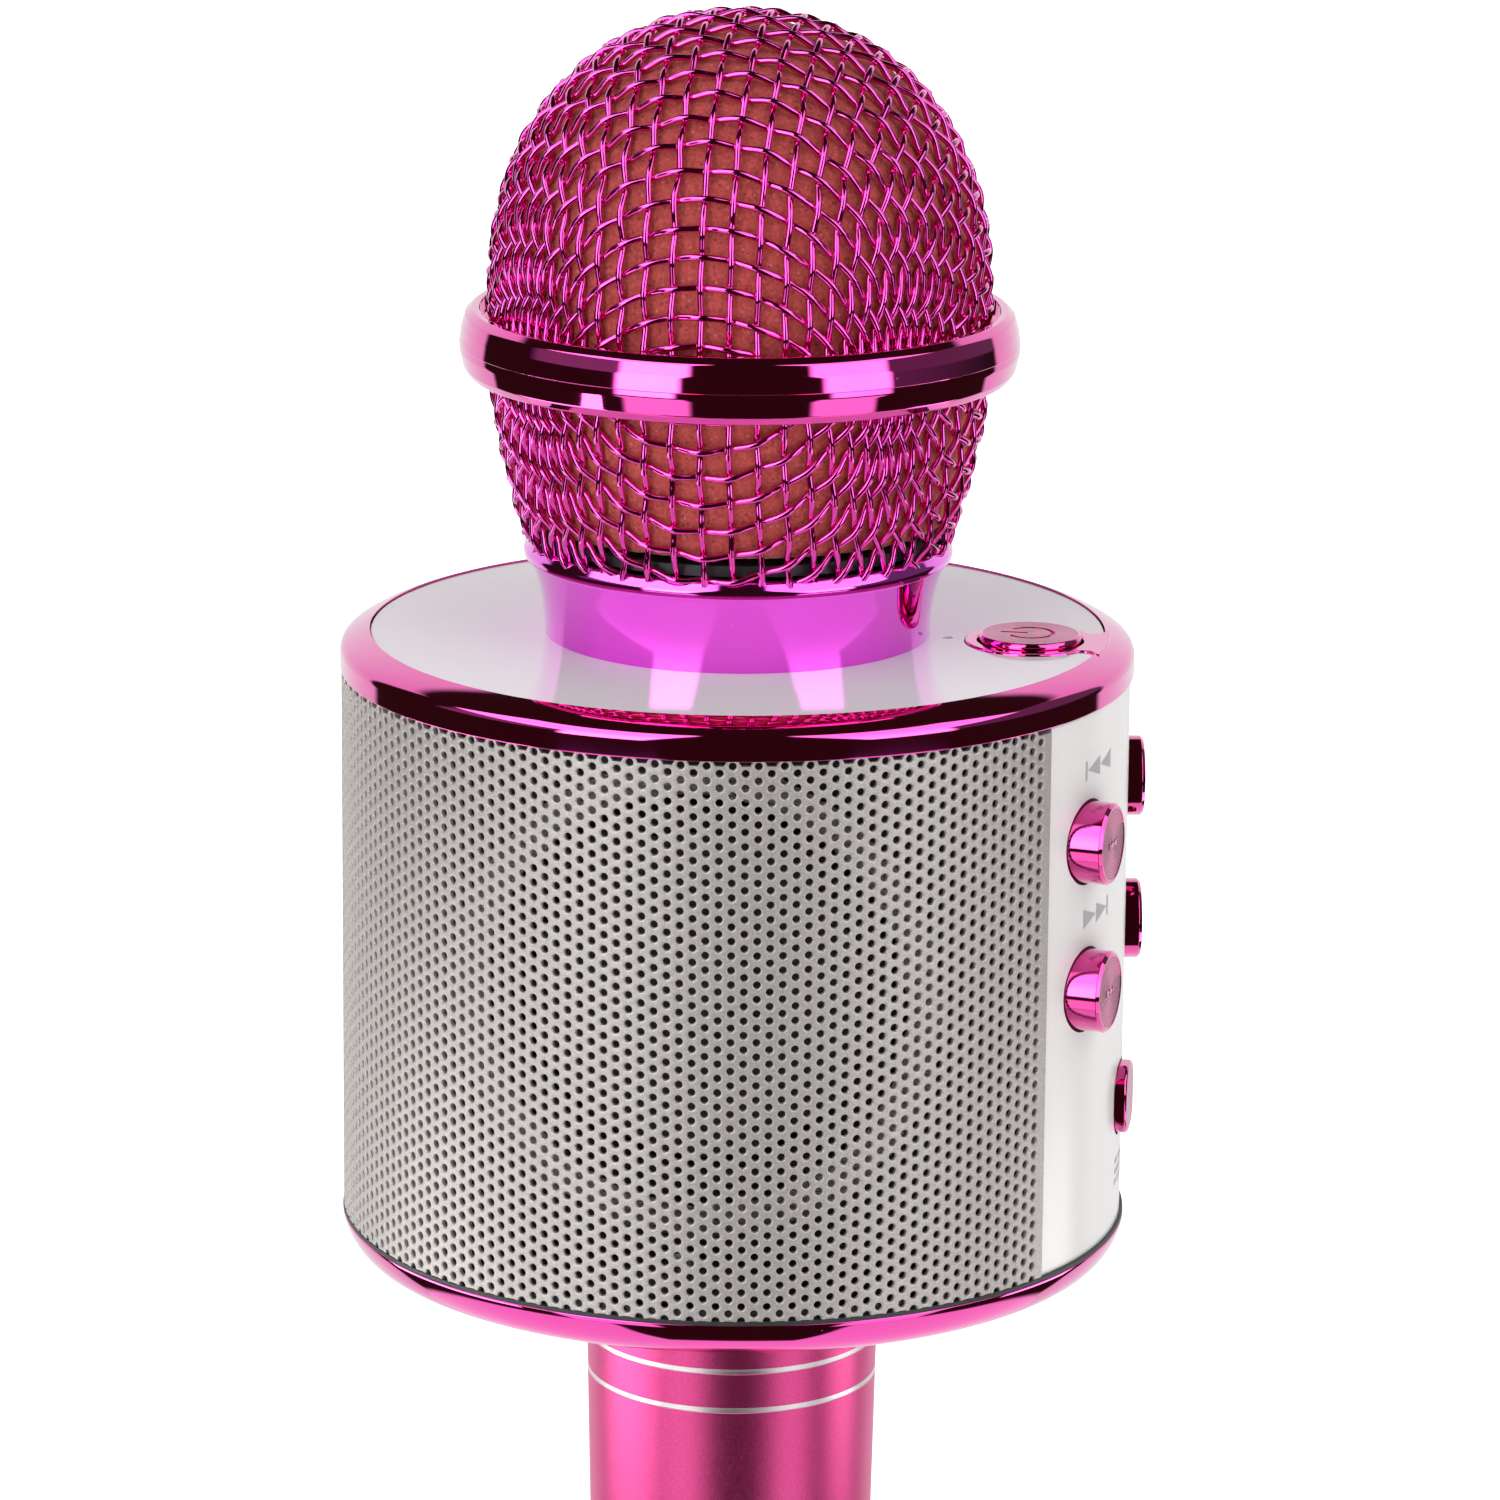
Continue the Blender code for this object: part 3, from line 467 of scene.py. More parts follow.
def white_gloss(name, colour=(0.80, 0.785, 0.82), roughness=0.05, smudging=2.2):
    """Polished moulded plastic with a very slight surface waviness and dust."""
    s = Shader(name)
    wave = s.noise(120.0, 2.0)
    dust = s.dust(700.0, 0.05, 0.985)
    base = s.blend(s.remap(wave, 0.3, 0.7, 0.0, 1.0), colour, tuple(c * 0.985 for c in colour))
    s.set(colour=s.blend(dust, base, (0.45, 0.42, 0.43)), specular=0.4, ior=1.45,
          roughness=s.remap(s.noise(260.0, 3.0), 0.3, 0.7, roughness, roughness * smudging),
          coat=0.15, coat_roughness=roughness * 0.8, normal=s.bump(wave, 0.004 * MM))
    return s.material


def foam_material(name):
    """Open-cell foam: fine grain, open pores darkened with painted shade, and pale flecks."""
    s = Shader(name)
    grain = s.noise(2600.0, 4.0, 0.7)
    pores = s.cells(1500.0)
    pore = s.remap(pores.outputs["Distance"], 0.10, 0.34, 1.0, 0.0, True)
    chance = s.chance(pores)
    open_pore = s.maths("MULTIPLY", pore, s.maths("GREATER_THAN", chance, 0.62))
    fleck = s.maths("MULTIPLY", pore, s.maths("LESS_THAN", chance, 0.2))
    base = s.blend(s.remap(grain, 0.3, 0.7, 0.0, 1.0), (0.25, 0.036, 0.036), (0.58, 0.105, 0.092))
    cloudy = s.blend(s.remap(s.noise(220.0, 3.0), 0.3, 0.7, 0.0, 0.4), base, (0.37, 0.056, 0.050))
    # painted shade: the open pores' hollows are coloured dark
    dark = s.blend(s.maths("MULTIPLY", open_pore, 0.6), cloudy, (0.12, 0.03, 0.03))
    height = s.maths("SUBTRACT", grain, s.maths("MULTIPLY", open_pore, 0.9))
    s.set(colour=s.blend(s.maths("MULTIPLY", fleck, 0.35), dark, (0.62, 0.30, 0.25)),
          roughness=0.95, specular=0.2, sheen=0.15, sheen_roughness=0.5,
          normal=s.bump(height, 0.09 * MM, 0.8))
    return s.material


def moulded(name, colour, roughness=0.5, grain=2500.0, depth=0.01, metallic=0.0, specular=0.5):
    """Moulded plastic, rubber or paper with a fine texture."""
    s = Shader(name)
    texture = s.noise(grain, 3.0)
    darker, lighter = tuple(c * 0.85 for c in colour), tuple(min(c * 1.15, 1) for c in colour)
    s.set(colour=s.blend(texture, darker, lighter),
          roughness=s.remap(texture, 0.3, 0.7, roughness * 0.85, min(roughness * 1.15, 1.0)),
          metallic=metallic, specular=specular, normal=s.bump(texture, depth * MM, 0.7))
    return s.material


def circuit_board(name):
    """Green solder mask with copper tracks under it and small bright pads."""
    s = Shader(name)
    tracks = s.cells(260.0, "DISTANCE_TO_EDGE")
    track = s.remap(tracks.outputs["Distance"], 0.02, 0.06, 1.0, 0.0, True)
    pads = s.maths("LESS_THAN", s.cells(420.0).outputs["Distance"], 0.16)
    mask = s.blend(track, (0.008, 0.085, 0.035), (0.02, 0.19, 0.075))
    s.set(colour=s.blend(pads, mask, (0.72, 0.66, 0.52)), metallic=s.maths("MULTIPLY", pads, 0.9),
          roughness=s.remap(track, 0.0, 1.0, 0.38, 0.3), coat=0.4, coat_roughness=0.15,
          normal=s.bump(track, 0.02 * MM, 0.6))
    return s.material


def clear_lens(name):
    s = Shader(name)
    s.set(colour=s.blend(s.noise(1500.0), (0.62, 0.70, 0.92), (0.70, 0.78, 0.96)), roughness=0.12,
          transmission=0.6, ior=1.49)
    return s.material


MATERIALS = {
    "plating": plating("magenta_plating"),
    "neck": plating("neck_plating", 0.05, 1.0, (1.0, 0.080, 0.92)),
    "wire": plating("plated_wire", 0.07, 0.3, (0.86, 0.046, 0.48)),
    "button": plating("button_plating", 0.04, 0.5, (0.84, 0.040, 0.36)),
    "spun": spun_plating("spun_face"),
    "handle": anodised("pink_anodised"),
    "groove": bare_metal("cut_groove", (0.97, 0.95, 0.94), 0.38),
    "grille": grille_paint("grille_paint"),
    "white": white_gloss("white_gloss"),
    "panel": white_gloss("panel_white", (0.60, 0.585, 0.58), 0.22, 1.1),
    "foam": foam_material("foam"),
    "cover": moulded("cover_paint", (0.50, 0.03, 0.24), 0.22, 900.0, 0.003),
    "black": moulded("black_plastic", (0.022, 0.022, 0.025), 0.45),
    "cone": moulded("speaker_cone", (0.045, 0.045, 0.05), 0.75, 1800.0, 0.03),
    "rubber": moulded("black_rubber", (0.018, 0.018, 0.018), 0.7, 3500.0, 0.006),
    "ferrite": moulded("ferrite", (0.06, 0.06, 0.065), 0.65, 4000.0, 0.02, 0.2),
    "steel": bare_metal("bright_steel", (0.66, 0.66, 0.68), 0.28, 2200.0),
    "board": circuit_board("circuit_board"),
    "cell": moulded("cell_sleeve", (0.03, 0.16, 0.50), 0.28, 700.0, 0.002),
    "lens": clear_lens("clear_lens"),
    "print": moulded("grey_print", (0.31, 0.305, 0.31), 0.5, 5000.0, 0.001),
}


# ---- Head: woven wire -------------------------------------------------------------------
WIRE_RADIUS = 0.35 * MM
WIRE_PITCH = 2.95 * MM
CRIMP = 0.33 * MM
NET_DRIFT = 0.05 * MM
DOME_POWERS = (2.075, 2.37)   # of its superellipse, across and up
WIRE_MID_DEPTH = 0.75 * MM    # of the wires' middle surface under the mesh's outside
HEM = 5 * MM                  # by which a net is laid past the edge of its belt
CUP_LOW, CUP_HIGH = 0.1890, 0.2080
CUP_LOW_RADIUS, CUP_HIGH_RADIUS, CUP_BULGE = 0.02225, 0.02639, 0.000616


def dome_surface(p):
    """Value and gradient of the dome's implicit form, straight-sided below its rim."""
    radius, height = DOME_RADIUS - WIRE_MID_DEPTH, DOME_HIGH - DOME_LOW - WIRE_MID_DEPTH
    rho = max(hypot(p[0], p[1]), 1e-9)
    up = max(p[2] - DOME_LOW, 0.0) / height
    across_power, up_power = DOME_POWERS
    value = (rho / radius) ** across_power + up ** up_power - 1.0
    radial = across_power * (rho / radius) ** (across_power - 1) / radius
    vertical = up_power * up ** (up_power - 1) / height if up > 0 else 0.0
    return value, np.array([radial * p[0] / rho, radial * p[1] / rho, vertical])


def cup_radius(height):
    t = (height - CUP_LOW) / (CUP_HIGH - CUP_LOW)
    return CUP_LOW_RADIUS + (CUP_HIGH_RADIUS - CUP_LOW_RADIUS) * t + CUP_BULGE * 4 * t * (1 - t)


CUP_SLOPE = (CUP_HIGH_RADIUS - CUP_LOW_RADIUS + 4 * CUP_BULGE) / (CUP_HIGH - CUP_LOW)
CUP_FLATNESS = 0.5     # squared ratio of the hidden bowl's height to its radius
CUP_WALL = CUP_LOW_RADIUS - WIRE_MID_DEPTH
BOWL_RISE = CUP_SLOPE * CUP_WALL * CUP_FLATNESS
BOWL_RADIUS = sqrt(CUP_WALL ** 2 + BOWL_RISE ** 2 / CUP_FLATNESS)
BOWL_DEPTH = BOWL_RADIUS * sqrt(CUP_FLATNESS)
BOWL_CENTRE = CUP_LOW + BOWL_RISE


def cup_surface(p):
    """The cup's wall above its rim and an elliptical bowl, hidden in the collar, below."""
    rho = max(hypot(p[0], p[1]), 1e-9)
    if p[2] >= CUP_LOW:
        t = (p[2] - CUP_LOW) / (CUP_HIGH - CUP_LOW)
        slope = (CUP_HIGH_RADIUS - CUP_LOW_RADIUS + CUP_BULGE * 4 * (1 - 2 * t)) / (CUP_HIGH - CUP_LOW)
        value = (rho - cup_radius(p[2]) + WIRE_MID_DEPTH) / BOWL_RADIUS
        return value, np.array([p[0] / rho, p[1] / rho, -slope]) / BOWL_RADIUS
    value = (rho / BOWL_RADIUS) ** 2 + ((p[2] - BOWL_CENTRE) / BOWL_DEPTH) ** 2 - 1.0
    return value, np.array([2 * p[0] / BOWL_RADIUS ** 2, 2 * p[1] / BOWL_RADIUS ** 2,
                            2 * (p[2] - BOWL_CENTRE) / BOWL_DEPTH ** 2])


def settle(surface, guess, conditions):
    """Newton steps to the point on the surface that meets two more conditions."""
    p = np.array(guess, float)
    for _ in range(25):
        value, gradient = surface(p)
        rows, values = [gradient], [value]
        for condition in conditions:
            row_value, row = condition(p)
            rows.append(row)
            values.append(row_value)
        try:
            move = np.linalg.solve(np.array(rows), -np.array(values))
        except np.linalg.LinAlgError:
            return None
        p = p + np.clip(move, -WIRE_PITCH, WIRE_PITCH)
        if np.abs(move).max() < 1e-10:
            return p
    return None


def at_distance(point, length):
    return lambda p: (((p - point) @ (p - point)) / length ** 2 - 1.0, 2 * (p - point) / length ** 2)


def in_plane(axis):
    row = np.eye(3)[axis]
    return lambda p: (p[axis] / WIRE_PITCH, row / WIRE_PITCH)


def net_quarter(surface, pole, outside, reach=30):
    """Knots of a net of equal, pin-jointed sides pressed over the surface from its pole."""
    knots = {(0, 0): np.array(pole)}
    for axis, key in ((0, lambda i: (i, 0)), (1, lambda i: (0, i))):
        heading = np.eye(3)[axis] * WIRE_PITCH
        for i in range(1, reach):
            last = knots[key(i - 1)]
            found = settle(surface, last + heading, (at_distance(last, WIRE_PITCH), in_plane(1 - axis)))
            if found is None:
                break
            heading = found - last
            knots[key(i)] = found
            if outside(found):
                break
    for total in range(2, 2 * reach):
        for i in range(1, total):
            j = total - i
            corner, left, below = (knots.get(k) for k in ((i - 1, j - 1), (i - 1, j), (i, j - 1)))
            if corner is None or left is None or below is None:
                continue
            if outside(left) and outside(below):
                continue
            found = settle(surface, left + below - corner,
                           (at_distance(left, WIRE_PITCH), at_distance(below, WIRE_PITCH)))
            if found is not None and np.linalg.norm(found - corner) > 0.3 * WIRE_PITCH:
                knots[(i, j)] = found
    return knots


def whole_net(quarter, surface, seed):
    """Mirror a quarter net to all four and give each knot its normal and a little drift."""
    drift = np.random.default_rng(seed)
    knots = {}
    for (i, j), point in sorted(quarter.items()):
        for side_i in ((1, -1) if i else (1,)):
            for side_j in ((1, -1) if j else (1,)):
                place = point * np.array([side_i, side_j, 1.0])
                normal = surface(place)[1]
                normal = normal / np.linalg.norm(normal)
                place = place + drift.normal(0.0, NET_DRIFT, 3)
                knots[(side_i * i, side_j * j)] = (place, normal)
    return knots


def wire_path(chain, first_side, steps=6):
    """Smooth, crimped centre line through a chain of knots, and the net's normal along it."""
    places = np.array([k[0] for k in chain])
    normals = np.array([k[1] for k in chain])
    padded_places = np.vstack([2 * places[0] - places[1], places, 2 * places[-1] - places[-2]])
    line, outward = [], []
    for i in range(len(places) - 1):
        a, b, c, d = padded_places[i:i + 4]
        for step in range(steps):
            t = step / steps
            spot = 0.5 * (2 * b + (c - a) * t + (2 * a - 5 * b + 4 * c - d) * t ** 2
                          + (3 * b - a - 3 * c + d) * t ** 3)
            normal = normals[i] * (1 - t) + normals[i + 1] * t
            normal = normal / np.linalg.norm(normal)
            side = first_side * (-1) ** i
            line.append(spot + normal * CRIMP * side * cos(pi * t))
            outward.append(normal)
    line.append(places[-1] + normals[-1] * CRIMP * first_side * (-1) ** (len(places) - 1))
    outward.append(normals[-1])
    return np.array(line), np.array(outward)


def tube_arrays(line, outward, radius, sides=10):
    """Vertices and faces of a round wire along a line."""
    along = np.gradient(line, axis=0)
    along /= np.linalg.norm(along, axis=1, keepdims=True)
    up = outward - along * np.sum(outward * along, 1, keepdims=True)
    up /= np.linalg.norm(up, axis=1, keepdims=True)
    across = np.cross(along, up)
    turn = np.arange(sides) * 2 * pi / sides
    ring = (up[:, None, :] * np.cos(turn)[None, :, None]
            + across[:, None, :] * np.sin(turn)[None, :, None])
    vertices = (line[:, None, :] + ring * radius).reshape(-1, 3)
    count = len(line)
    start = np.arange(count - 1)[:, None] * sides
    side = np.arange(sides)[None, :]
    after = (side + 1) % sides
    quads = np.stack([start + side, start + sides + side, start + sides + after, start + after], 2)
    caps = np.stack([side[0][::-1], (count - 1) * sides + side[0]])
    return vertices, quads.reshape(-1, 4), caps


def woven_mesh(name, surface, pole, outside, low, high, seed):
    """All wires of a woven mesh between two heights, as one piece."""
    knots = whole_net(net_quarter(surface, pole, outside), surface, seed)
    vertices, quads, caps, total = [], [], [], 0
    for along in (0, 1):
        lines = {}
        for key in knots:
            lines.setdefault(key[1 - along], []).append(key)
        for _, keys in sorted(lines.items()):
            keys.sort(key=lambda k: k[along])
            if len(keys) < 3:
                continue
            first = (-1) ** (keys[0][0] + keys[0][1]) * (1 if along == 0 else -1)
            line, outward = wire_path([knots[k] for k in keys], first)
            inside = (line[:, 2] > low) & (line[:, 2] < high)
            edges = np.flatnonzero(np.diff(np.concatenate([[0], inside.astype(int), [0]])))
            for begin, end in zip(edges[::2], edges[1::2]):
                if end - begin < 4:
                    continue
                tube, sides, ends = tube_arrays(line[begin:end], outward[begin:end], WIRE_RADIUS)
                vertices.append(tube)
                quads.append(sides + total)
                caps.append(ends + total)
                total += len(tube)
    return mesh_from_arrays(name, np.vstack(vertices), [np.vstack(quads), np.vstack(caps)])


def make_meshes():
    """Wires of the dome, from its pole down into the belt, and of the cup, from collar to belt."""
    dome = woven_mesh("woven_dome", dome_surface, (0.0, 0.0, DOME_HIGH - WIRE_MID_DEPTH),
                      lambda p: p[2] < BAND_HIGH - HEM, BAND_HIGH - 2.2 * MM, 1.0, 11)
    mount_piece(new_piece("woven_dome", dome, MATERIALS["wire"], 60), MAIN, "mesh_wire", "mesh_dome")
    cup = woven_mesh("woven_cup", cup_surface, (0.0, 0.0, BOWL_CENTRE - BOWL_DEPTH),
                     lambda p: p[2] > BAND_LOW + HEM, COLLAR_HIGH - 1.6 * MM, BAND_LOW + 1.6 * MM, 12)
    mount_piece(new_piece("woven_cup", cup, MATERIALS["wire"], 60), MAIN, "mesh_wire", "mesh_cup")


def make_band():
    """Belt with a crease between two facets and grooves that take the mesh edges."""
    upper_facet = offset(BAND_RADIUS, BAND_HIGH, [
        (-2.1, 0.0, 0.15), (-1.35, 0.0, 0.25), (-0.62, -0.6, 0.45)])
    crease = [(-0.24, 4.9, 1.6), (0.0, 3.32, 0.03), (-0.06, 3.26, 0.02), (-0.02, 2.6, 1.0)]
    lower_groove = [(-0.42, 0.85, 0.5), (-1.0, 0.0, 0.5), (-2.6, 0.0, 0.3), (-3.2, 1.2), (-3.65, 1.4)]
    upper_groove = offset(BAND_RADIUS, BAND_HIGH, [(-3.65, -1.6), (-2.3, -1.6)])
    profile = upper_facet + offset(BAND_RADIUS, BAND_LOW, crease + lower_groove) + upper_groove
    band = lathe_piece("mesh_belt", profile, MATERIALS["plating"], 240)
    mount_piece(band, MAIN, "magenta_plating", "head_band")


def foam_profile():
    """Under the dome and down inside the cup, then up round the capsule's hollow."""
    clearance, hollow_radius, hollow_rise = 1.45 * MM, 0.0158, 0.018
    radius, height = DOME_RADIUS - clearance, DOME_HIGH - DOME_LOW - clearance
    outer = [(0.0, DOME_LOW + height)]
    steps = 26
    for step in range(1, steps + 1):
        angle = pi / 2 * (1 - step / steps)
        across = max(cos(angle), 0.0) ** (2 / DOME_POWERS[0])
        up = max(sin(angle), 0.0) ** (2 / DOME_POWERS[1])
        outer.append((radius * across, DOME_LOW + height * up))
    count = 14
    for i in range(count + 1):
        level = CUP_HIGH - (CUP_HIGH - FOAM_LOW - 0.6 * MM) * i / count
        outer.append((cup_radius(level) - clearance, level))
    outer += [(outer[-1][0] - 0.5 * MM, FOAM_LOW), (0.0160, FOAM_LOW), (hollow_radius, DOME_LOW)]
    inner = [(hollow_radius * cos(pi / 2 * i / 6), DOME_LOW + hollow_rise * sin(pi / 2 * i / 6))
             for i in range(1, 6)]
    return outer + inner + [(0.0, DOME_LOW + hollow_rise)]


def make_foam():
    """Foam liner with a slightly uneven skin."""
    mesh = lathe_mesh("foam_sock", foam_profile(), 180)
    rough = np.random.default_rng(5)
    places = np.zeros(len(mesh.vertices) * 3, np.float32)
    mesh.vertices.foreach_get("co", places)
    places = places.reshape(-1, 3)
    places += rough.normal(0.0, 0.02 * MM, places.shape)
    mesh.vertices.foreach_set("co", places.ravel())
    foam = new_piece("foam_sock", mesh, MATERIALS["foam"], 60)
    mount_piece(foam, MAIN, "foam", "foam_liner")


def make_collar():
    """Flared neck with a rounded lip, hollow inside."""
    base, spread, curl = 20.2 * MM, 1.55 * MM, 2.2
    flare_rise = COLLAR_HIGH - 2.2 * MM - COLLAR_LOW
    levels = [1 - i / 12 for i in range(13)]
    flare = [(base + spread * t ** curl, COLLAR_LOW + flare_rise * t) for t in levels]
    lip = offset(22.4 * MM, COLLAR_HIGH, [(-2.2, 0.0, 0.2), (-0.75, -0.05, 0.7), (0.0, -1.1, 0.7),
                                          (-0.1, -1.9, 0.2)])
    foot = offset(0.0, COLLAR_LOW, [(18.2, 0.0), (18.2, -3.2), (15.0, -3.2)])
    inside = offset(0.0, COLLAR_HIGH, [(15.0, -5.7), (19.4, -5.7), (19.6, -1.2)])
    collar = lathe_piece("neck_collar", lip + flare + foot + inside, MATERIALS["neck"], 240)
    mount_piece(collar, MAIN, "magenta_plating", "collar")


# ---- Body: rings, plate and panels ------------------------------------------------------
POWER_RING_RADIUS = 6.75 * MM
POWER_CAP_RADIUS = 5.3 * MM
HORN_RADIUS = 1.2 * MM
COVER_SCREWS = tuple(f"cover_screw_{number}" for number in range(1, 5))


def horn_centre(ring_radius, pad_radius, horn):
    """Centre of the round that blends the outer ring into the power ring, on one side."""
    a, b = ring_radius - horn, pad_radius + horn
    x = (a ** 2 - b ** 2 + POWER_X ** 2) / (2 * POWER_X)
    y = sqrt(a ** 2 - x ** 2)
    return x, y


def plate_loop(ring_radius, pad_radius, horn):
    """The plate's outer edge: round the body, then round each horn and the power ring."""
    x, y = horn_centre(ring_radius, pad_radius, horn)
    ring_angle = atan2(y, x)
    pad_angle = atan2(y, x - POWER_X)
    outer = arc_between((0, 0), ring_radius, ring_angle, 2 * pi - ring_angle, 220)
    low_horn = arc_between((x, -y), horn, -ring_angle, pi - pad_angle, 14)
    round_pad = arc_between((POWER_X, 0), pad_radius, -pad_angle, pad_angle - 2 * pi, 70)
    high_horn = arc_between((x, y), horn, pad_angle - pi, ring_angle, 14)
    return outer[:-1] + low_horn[:-1] + round_pad[:-1] + high_horn[:-1]


def bridge_loop(ring_radius, pad_radius, horn, overlap):
    """The power ring and its bridge, which runs on into the outer ring."""
    x, y = horn_centre(ring_radius, pad_radius, horn)
    ring_angle = atan2(y, x)
    pad_angle = atan2(y, x - POWER_X)
    high_horn = arc_between((x, y), horn, ring_angle, pad_angle - pi, 14)
    round_pad = arc_between((POWER_X, 0), pad_radius, pad_angle, 2 * pi - pad_angle, 70)
    low_horn = arc_between((x, -y), horn, pi - pad_angle, -ring_angle, 14)
    outside = arc_between((0, 0), ring_radius + overlap, -ring_angle, ring_angle, 24)
    return high_horn[:-1] + round_pad[:-1] + low_horn[:-1] + outside


def ring_crown(outer, inner, low, high):
    """From the inner edge down a nearly straight slope to a tight round at the outer wall.

    The slope is a curve with one control point, where the tangents at its two ends meet.
    """
    shoulder, turn, end_turn, steps = 1.3 * MM, radians(57), radians(72), 12
    arc = [(outer - shoulder * (1 - cos(turn * i / steps)), low + shoulder * sin(turn * i / steps))
           for i in range(steps + 1)]
    (x0, z0), (x2, z2) = arc[-1], (inner, high)
    across = (x0 - x2) * cos(end_turn) - (z2 - z0) * sin(end_turn)
    reach = across / (sin(turn) * cos(end_turn) - cos(turn) * sin(end_turn))
    x1, z1 = x0 - reach * sin(turn), z0 + reach * cos(turn)
    slope = [((1 - t) ** 2 * x0 + 2 * t * (1 - t) * x1 + t * t * x2,
              (1 - t) ** 2 * z0 + 2 * t * (1 - t) * z1 + t * t * z2)
             for t in [i / steps for i in range(1, steps + 1)]]
    return (arc + slope)[::-1]


def make_top_ring():
    """Upper ring of the body, and the ring round the power button that runs into it."""
    inner = BEZEL_INNER_RADIUS
    round_rise = 1.8
    crown = ring_crown(BODY_RADIUS, inner, TOP_BEZEL_LOW + round_rise * MM, TOP_BEZEL_HIGH)
    wall = offset(BODY_RADIUS, TOP_BEZEL_LOW, [
        (0.0, round_rise), (0.0, 0.0, 0.12), (-6.0, 0.0), (-6.0, 1.4)])
    ledge = [(inner - 0.02 * MM, TOP_BEZEL_LOW + 1.4 * MM)]
    profile = crown + rounded(wall + ledge, closed=False)[1:]
    ring = new_piece("top_ring", lathe_mesh("top_ring", profile, 256), MATERIALS["plating"])
    well = circle_points(POWER_X, POWER_RING_RADIUS - 0.15 * MM, 64)
    cut(ring, [outline_cutter(well, TOP_BEZEL_LOW - MM, TOP_BEZEL_HIGH - 1.9 * MM)])
    shade(ring.data)
    mount_piece(ring, MAIN, "magenta_plating", "top_bezel")
    loops = [bridge_loop(inner, POWER_RING_RADIUS, HORN_RADIUS, 0.6 * MM),
             circle_points(POWER_X, POWER_CAP_RADIUS + 0.25 * MM, 96)]
    pad = outline_solid("power_ring", loops, TOP_BEZEL_HIGH - 2.2 * MM, TOP_BEZEL_HIGH + 0.01 * MM,
                        0.22 * MM)
    mount_piece(new_piece("power_ring", pad, MATERIALS["plating"], 8), MAIN, "magenta_plating")


def make_top_plate():
    """White plate with holes for the neck and the indicator, a fine gap inside its rings."""
    edge = 0.12 * MM
    led_x = node_centre("indicator_lens")[0]
    loops = [plate_loop(BEZEL_INNER_RADIUS - edge, POWER_RING_RADIUS + edge, HORN_RADIUS - edge),
             circle_points(0.0, 18.6 * MM, 128), circle_points(led_x, 0.55 * MM, 24)]
    plate = outline_solid("top_cover", loops, PLATE_LOW, PLATE_HIGH, 0.1 * MM)
    plate = new_piece("top_cover", plate, MATERIALS["white"], 8)
    mount_piece(plate, MAIN, "white_gloss", "top_plate")


def make_bottom_ring():
    """Lower ring that curves under the body, with a thin bright lip at its top."""
    low, high = BOTTOM_BEZEL_LOW, BOTTOM_BEZEL_HIGH
    lip_low, tuck, start, steps = high - 0.3 * MM, 3.5 * MM, radians(18), 18
    across, down = tuck / cos(start), (lip_low - low) / (1 - sin(start))
    turns = [start + (pi / 2 - start) * i / steps for i in range(steps + 1)]
    under = [(BODY_RADIUS - tuck + across * cos(a), lip_low - down * (sin(a) - sin(start)))
             for a in turns]
    lip = rounded([(BODY_RADIUS - 6.0 * MM, high), (BODY_RADIUS, high, 0.09 * MM),
                   (BODY_RADIUS, lip_low)], closed=False)[:-1]
    profile = lip + under + offset(BODY_RADIUS, low, [(-3.65, 0.1), (-3.65, 2.4), (-6.0, 2.4)])
    ring = new_piece("bottom_ring", lathe_mesh("bottom_ring", profile, 256), MATERIALS["plating"])
    mount_piece(ring, MAIN, "magenta_plating", "bottom_bezel")


def make_joint_shade_strip():
    """Dark strip in the joint between the grilles and the lower ring, laid over the ring lip's top as a
    painted shadow.
    """
    # painted shadow: this black strip covers the top of the ring's lip where the grilles shade it
    profile = offset(BODY_RADIUS, BOTTOM_BEZEL_HIGH, [
        (-1.4, -0.05), (-0.05, -0.05), (-0.05, 0.42, 0.04), (-0.75, 0.42), (-0.75, 1.3), (-1.4, 1.3)])
    seal = lathe_piece("joint_shade_strip", profile, MATERIALS["black"], 200)
    mount_piece(seal, MAIN, "black_plastic")


def screw_place(node):
    return Matrix.Translation((*node_centre(node)[:2], 0.0))


def make_bottom_cover():
    """Cover under the body, with a shallow step round the handle and a well for each screw."""
    low, high = node_low("bottom_cover").z, node_high("bottom_cover").z
    profile = offset(0.0, high, [(12.6, 0.0), (37.6, 0.0)]) + offset(0.0, low, [
        (37.6, 0.0, 0.3), (18.0, 0.0, 0.5), (17.4, 0.4, 0.3), (16.4, 0.4), (12.6, 0.4)])
    cover = lathe_piece("base_cover", profile, MATERIALS["cover"], 200)
    well = lathe_mesh("well", offset(0.0, high, [(0.0, 1.0), (1.5, 1.0)]) + offset(0.0, low, [
        (1.5, 1.3), (2.9, 1.3), (2.9, -1.0), (0.0, -1.0)]), 40)
    cut(cover, [new_object("well", well, screw_place(node)) for node in COVER_SCREWS])
    shade(cover.data)
    mount_piece(cover, MAIN, "cover_paint", "bottom_cover")


def make_screws():
    """Pan-head screws with a cross slot, one for each CAD screw."""
    for node in COVER_SCREWS:
        low, high = node_low(node).z, node_high(node).z
        profile = offset(0.0, high, [(0.0, 0.0), (1.2, 0.0, 0.2)]) + offset(0.0, low, [
            (1.2, 0.8), (2.6, 0.8, 0.15), (2.5, 0.15, 0.4), (0.0, 0.0)])
        screw = lathe_piece(node.replace("cover", "cross"), profile, MATERIALS["steel"], 40, False)
        cut(screw, [outline_cutter(rectangle(-x * MM, -y * MM, x * MM, y * MM),
                                   low - MM, low + 0.55 * MM) for x, y in ((0.25, 1.5), (1.5, 0.25))])
        screw.data.set_sharp_from_angle(angle=radians(30))
        screw.matrix_world = screw_place(node)
        mount_piece(screw, MAIN, "bright_steel", node)


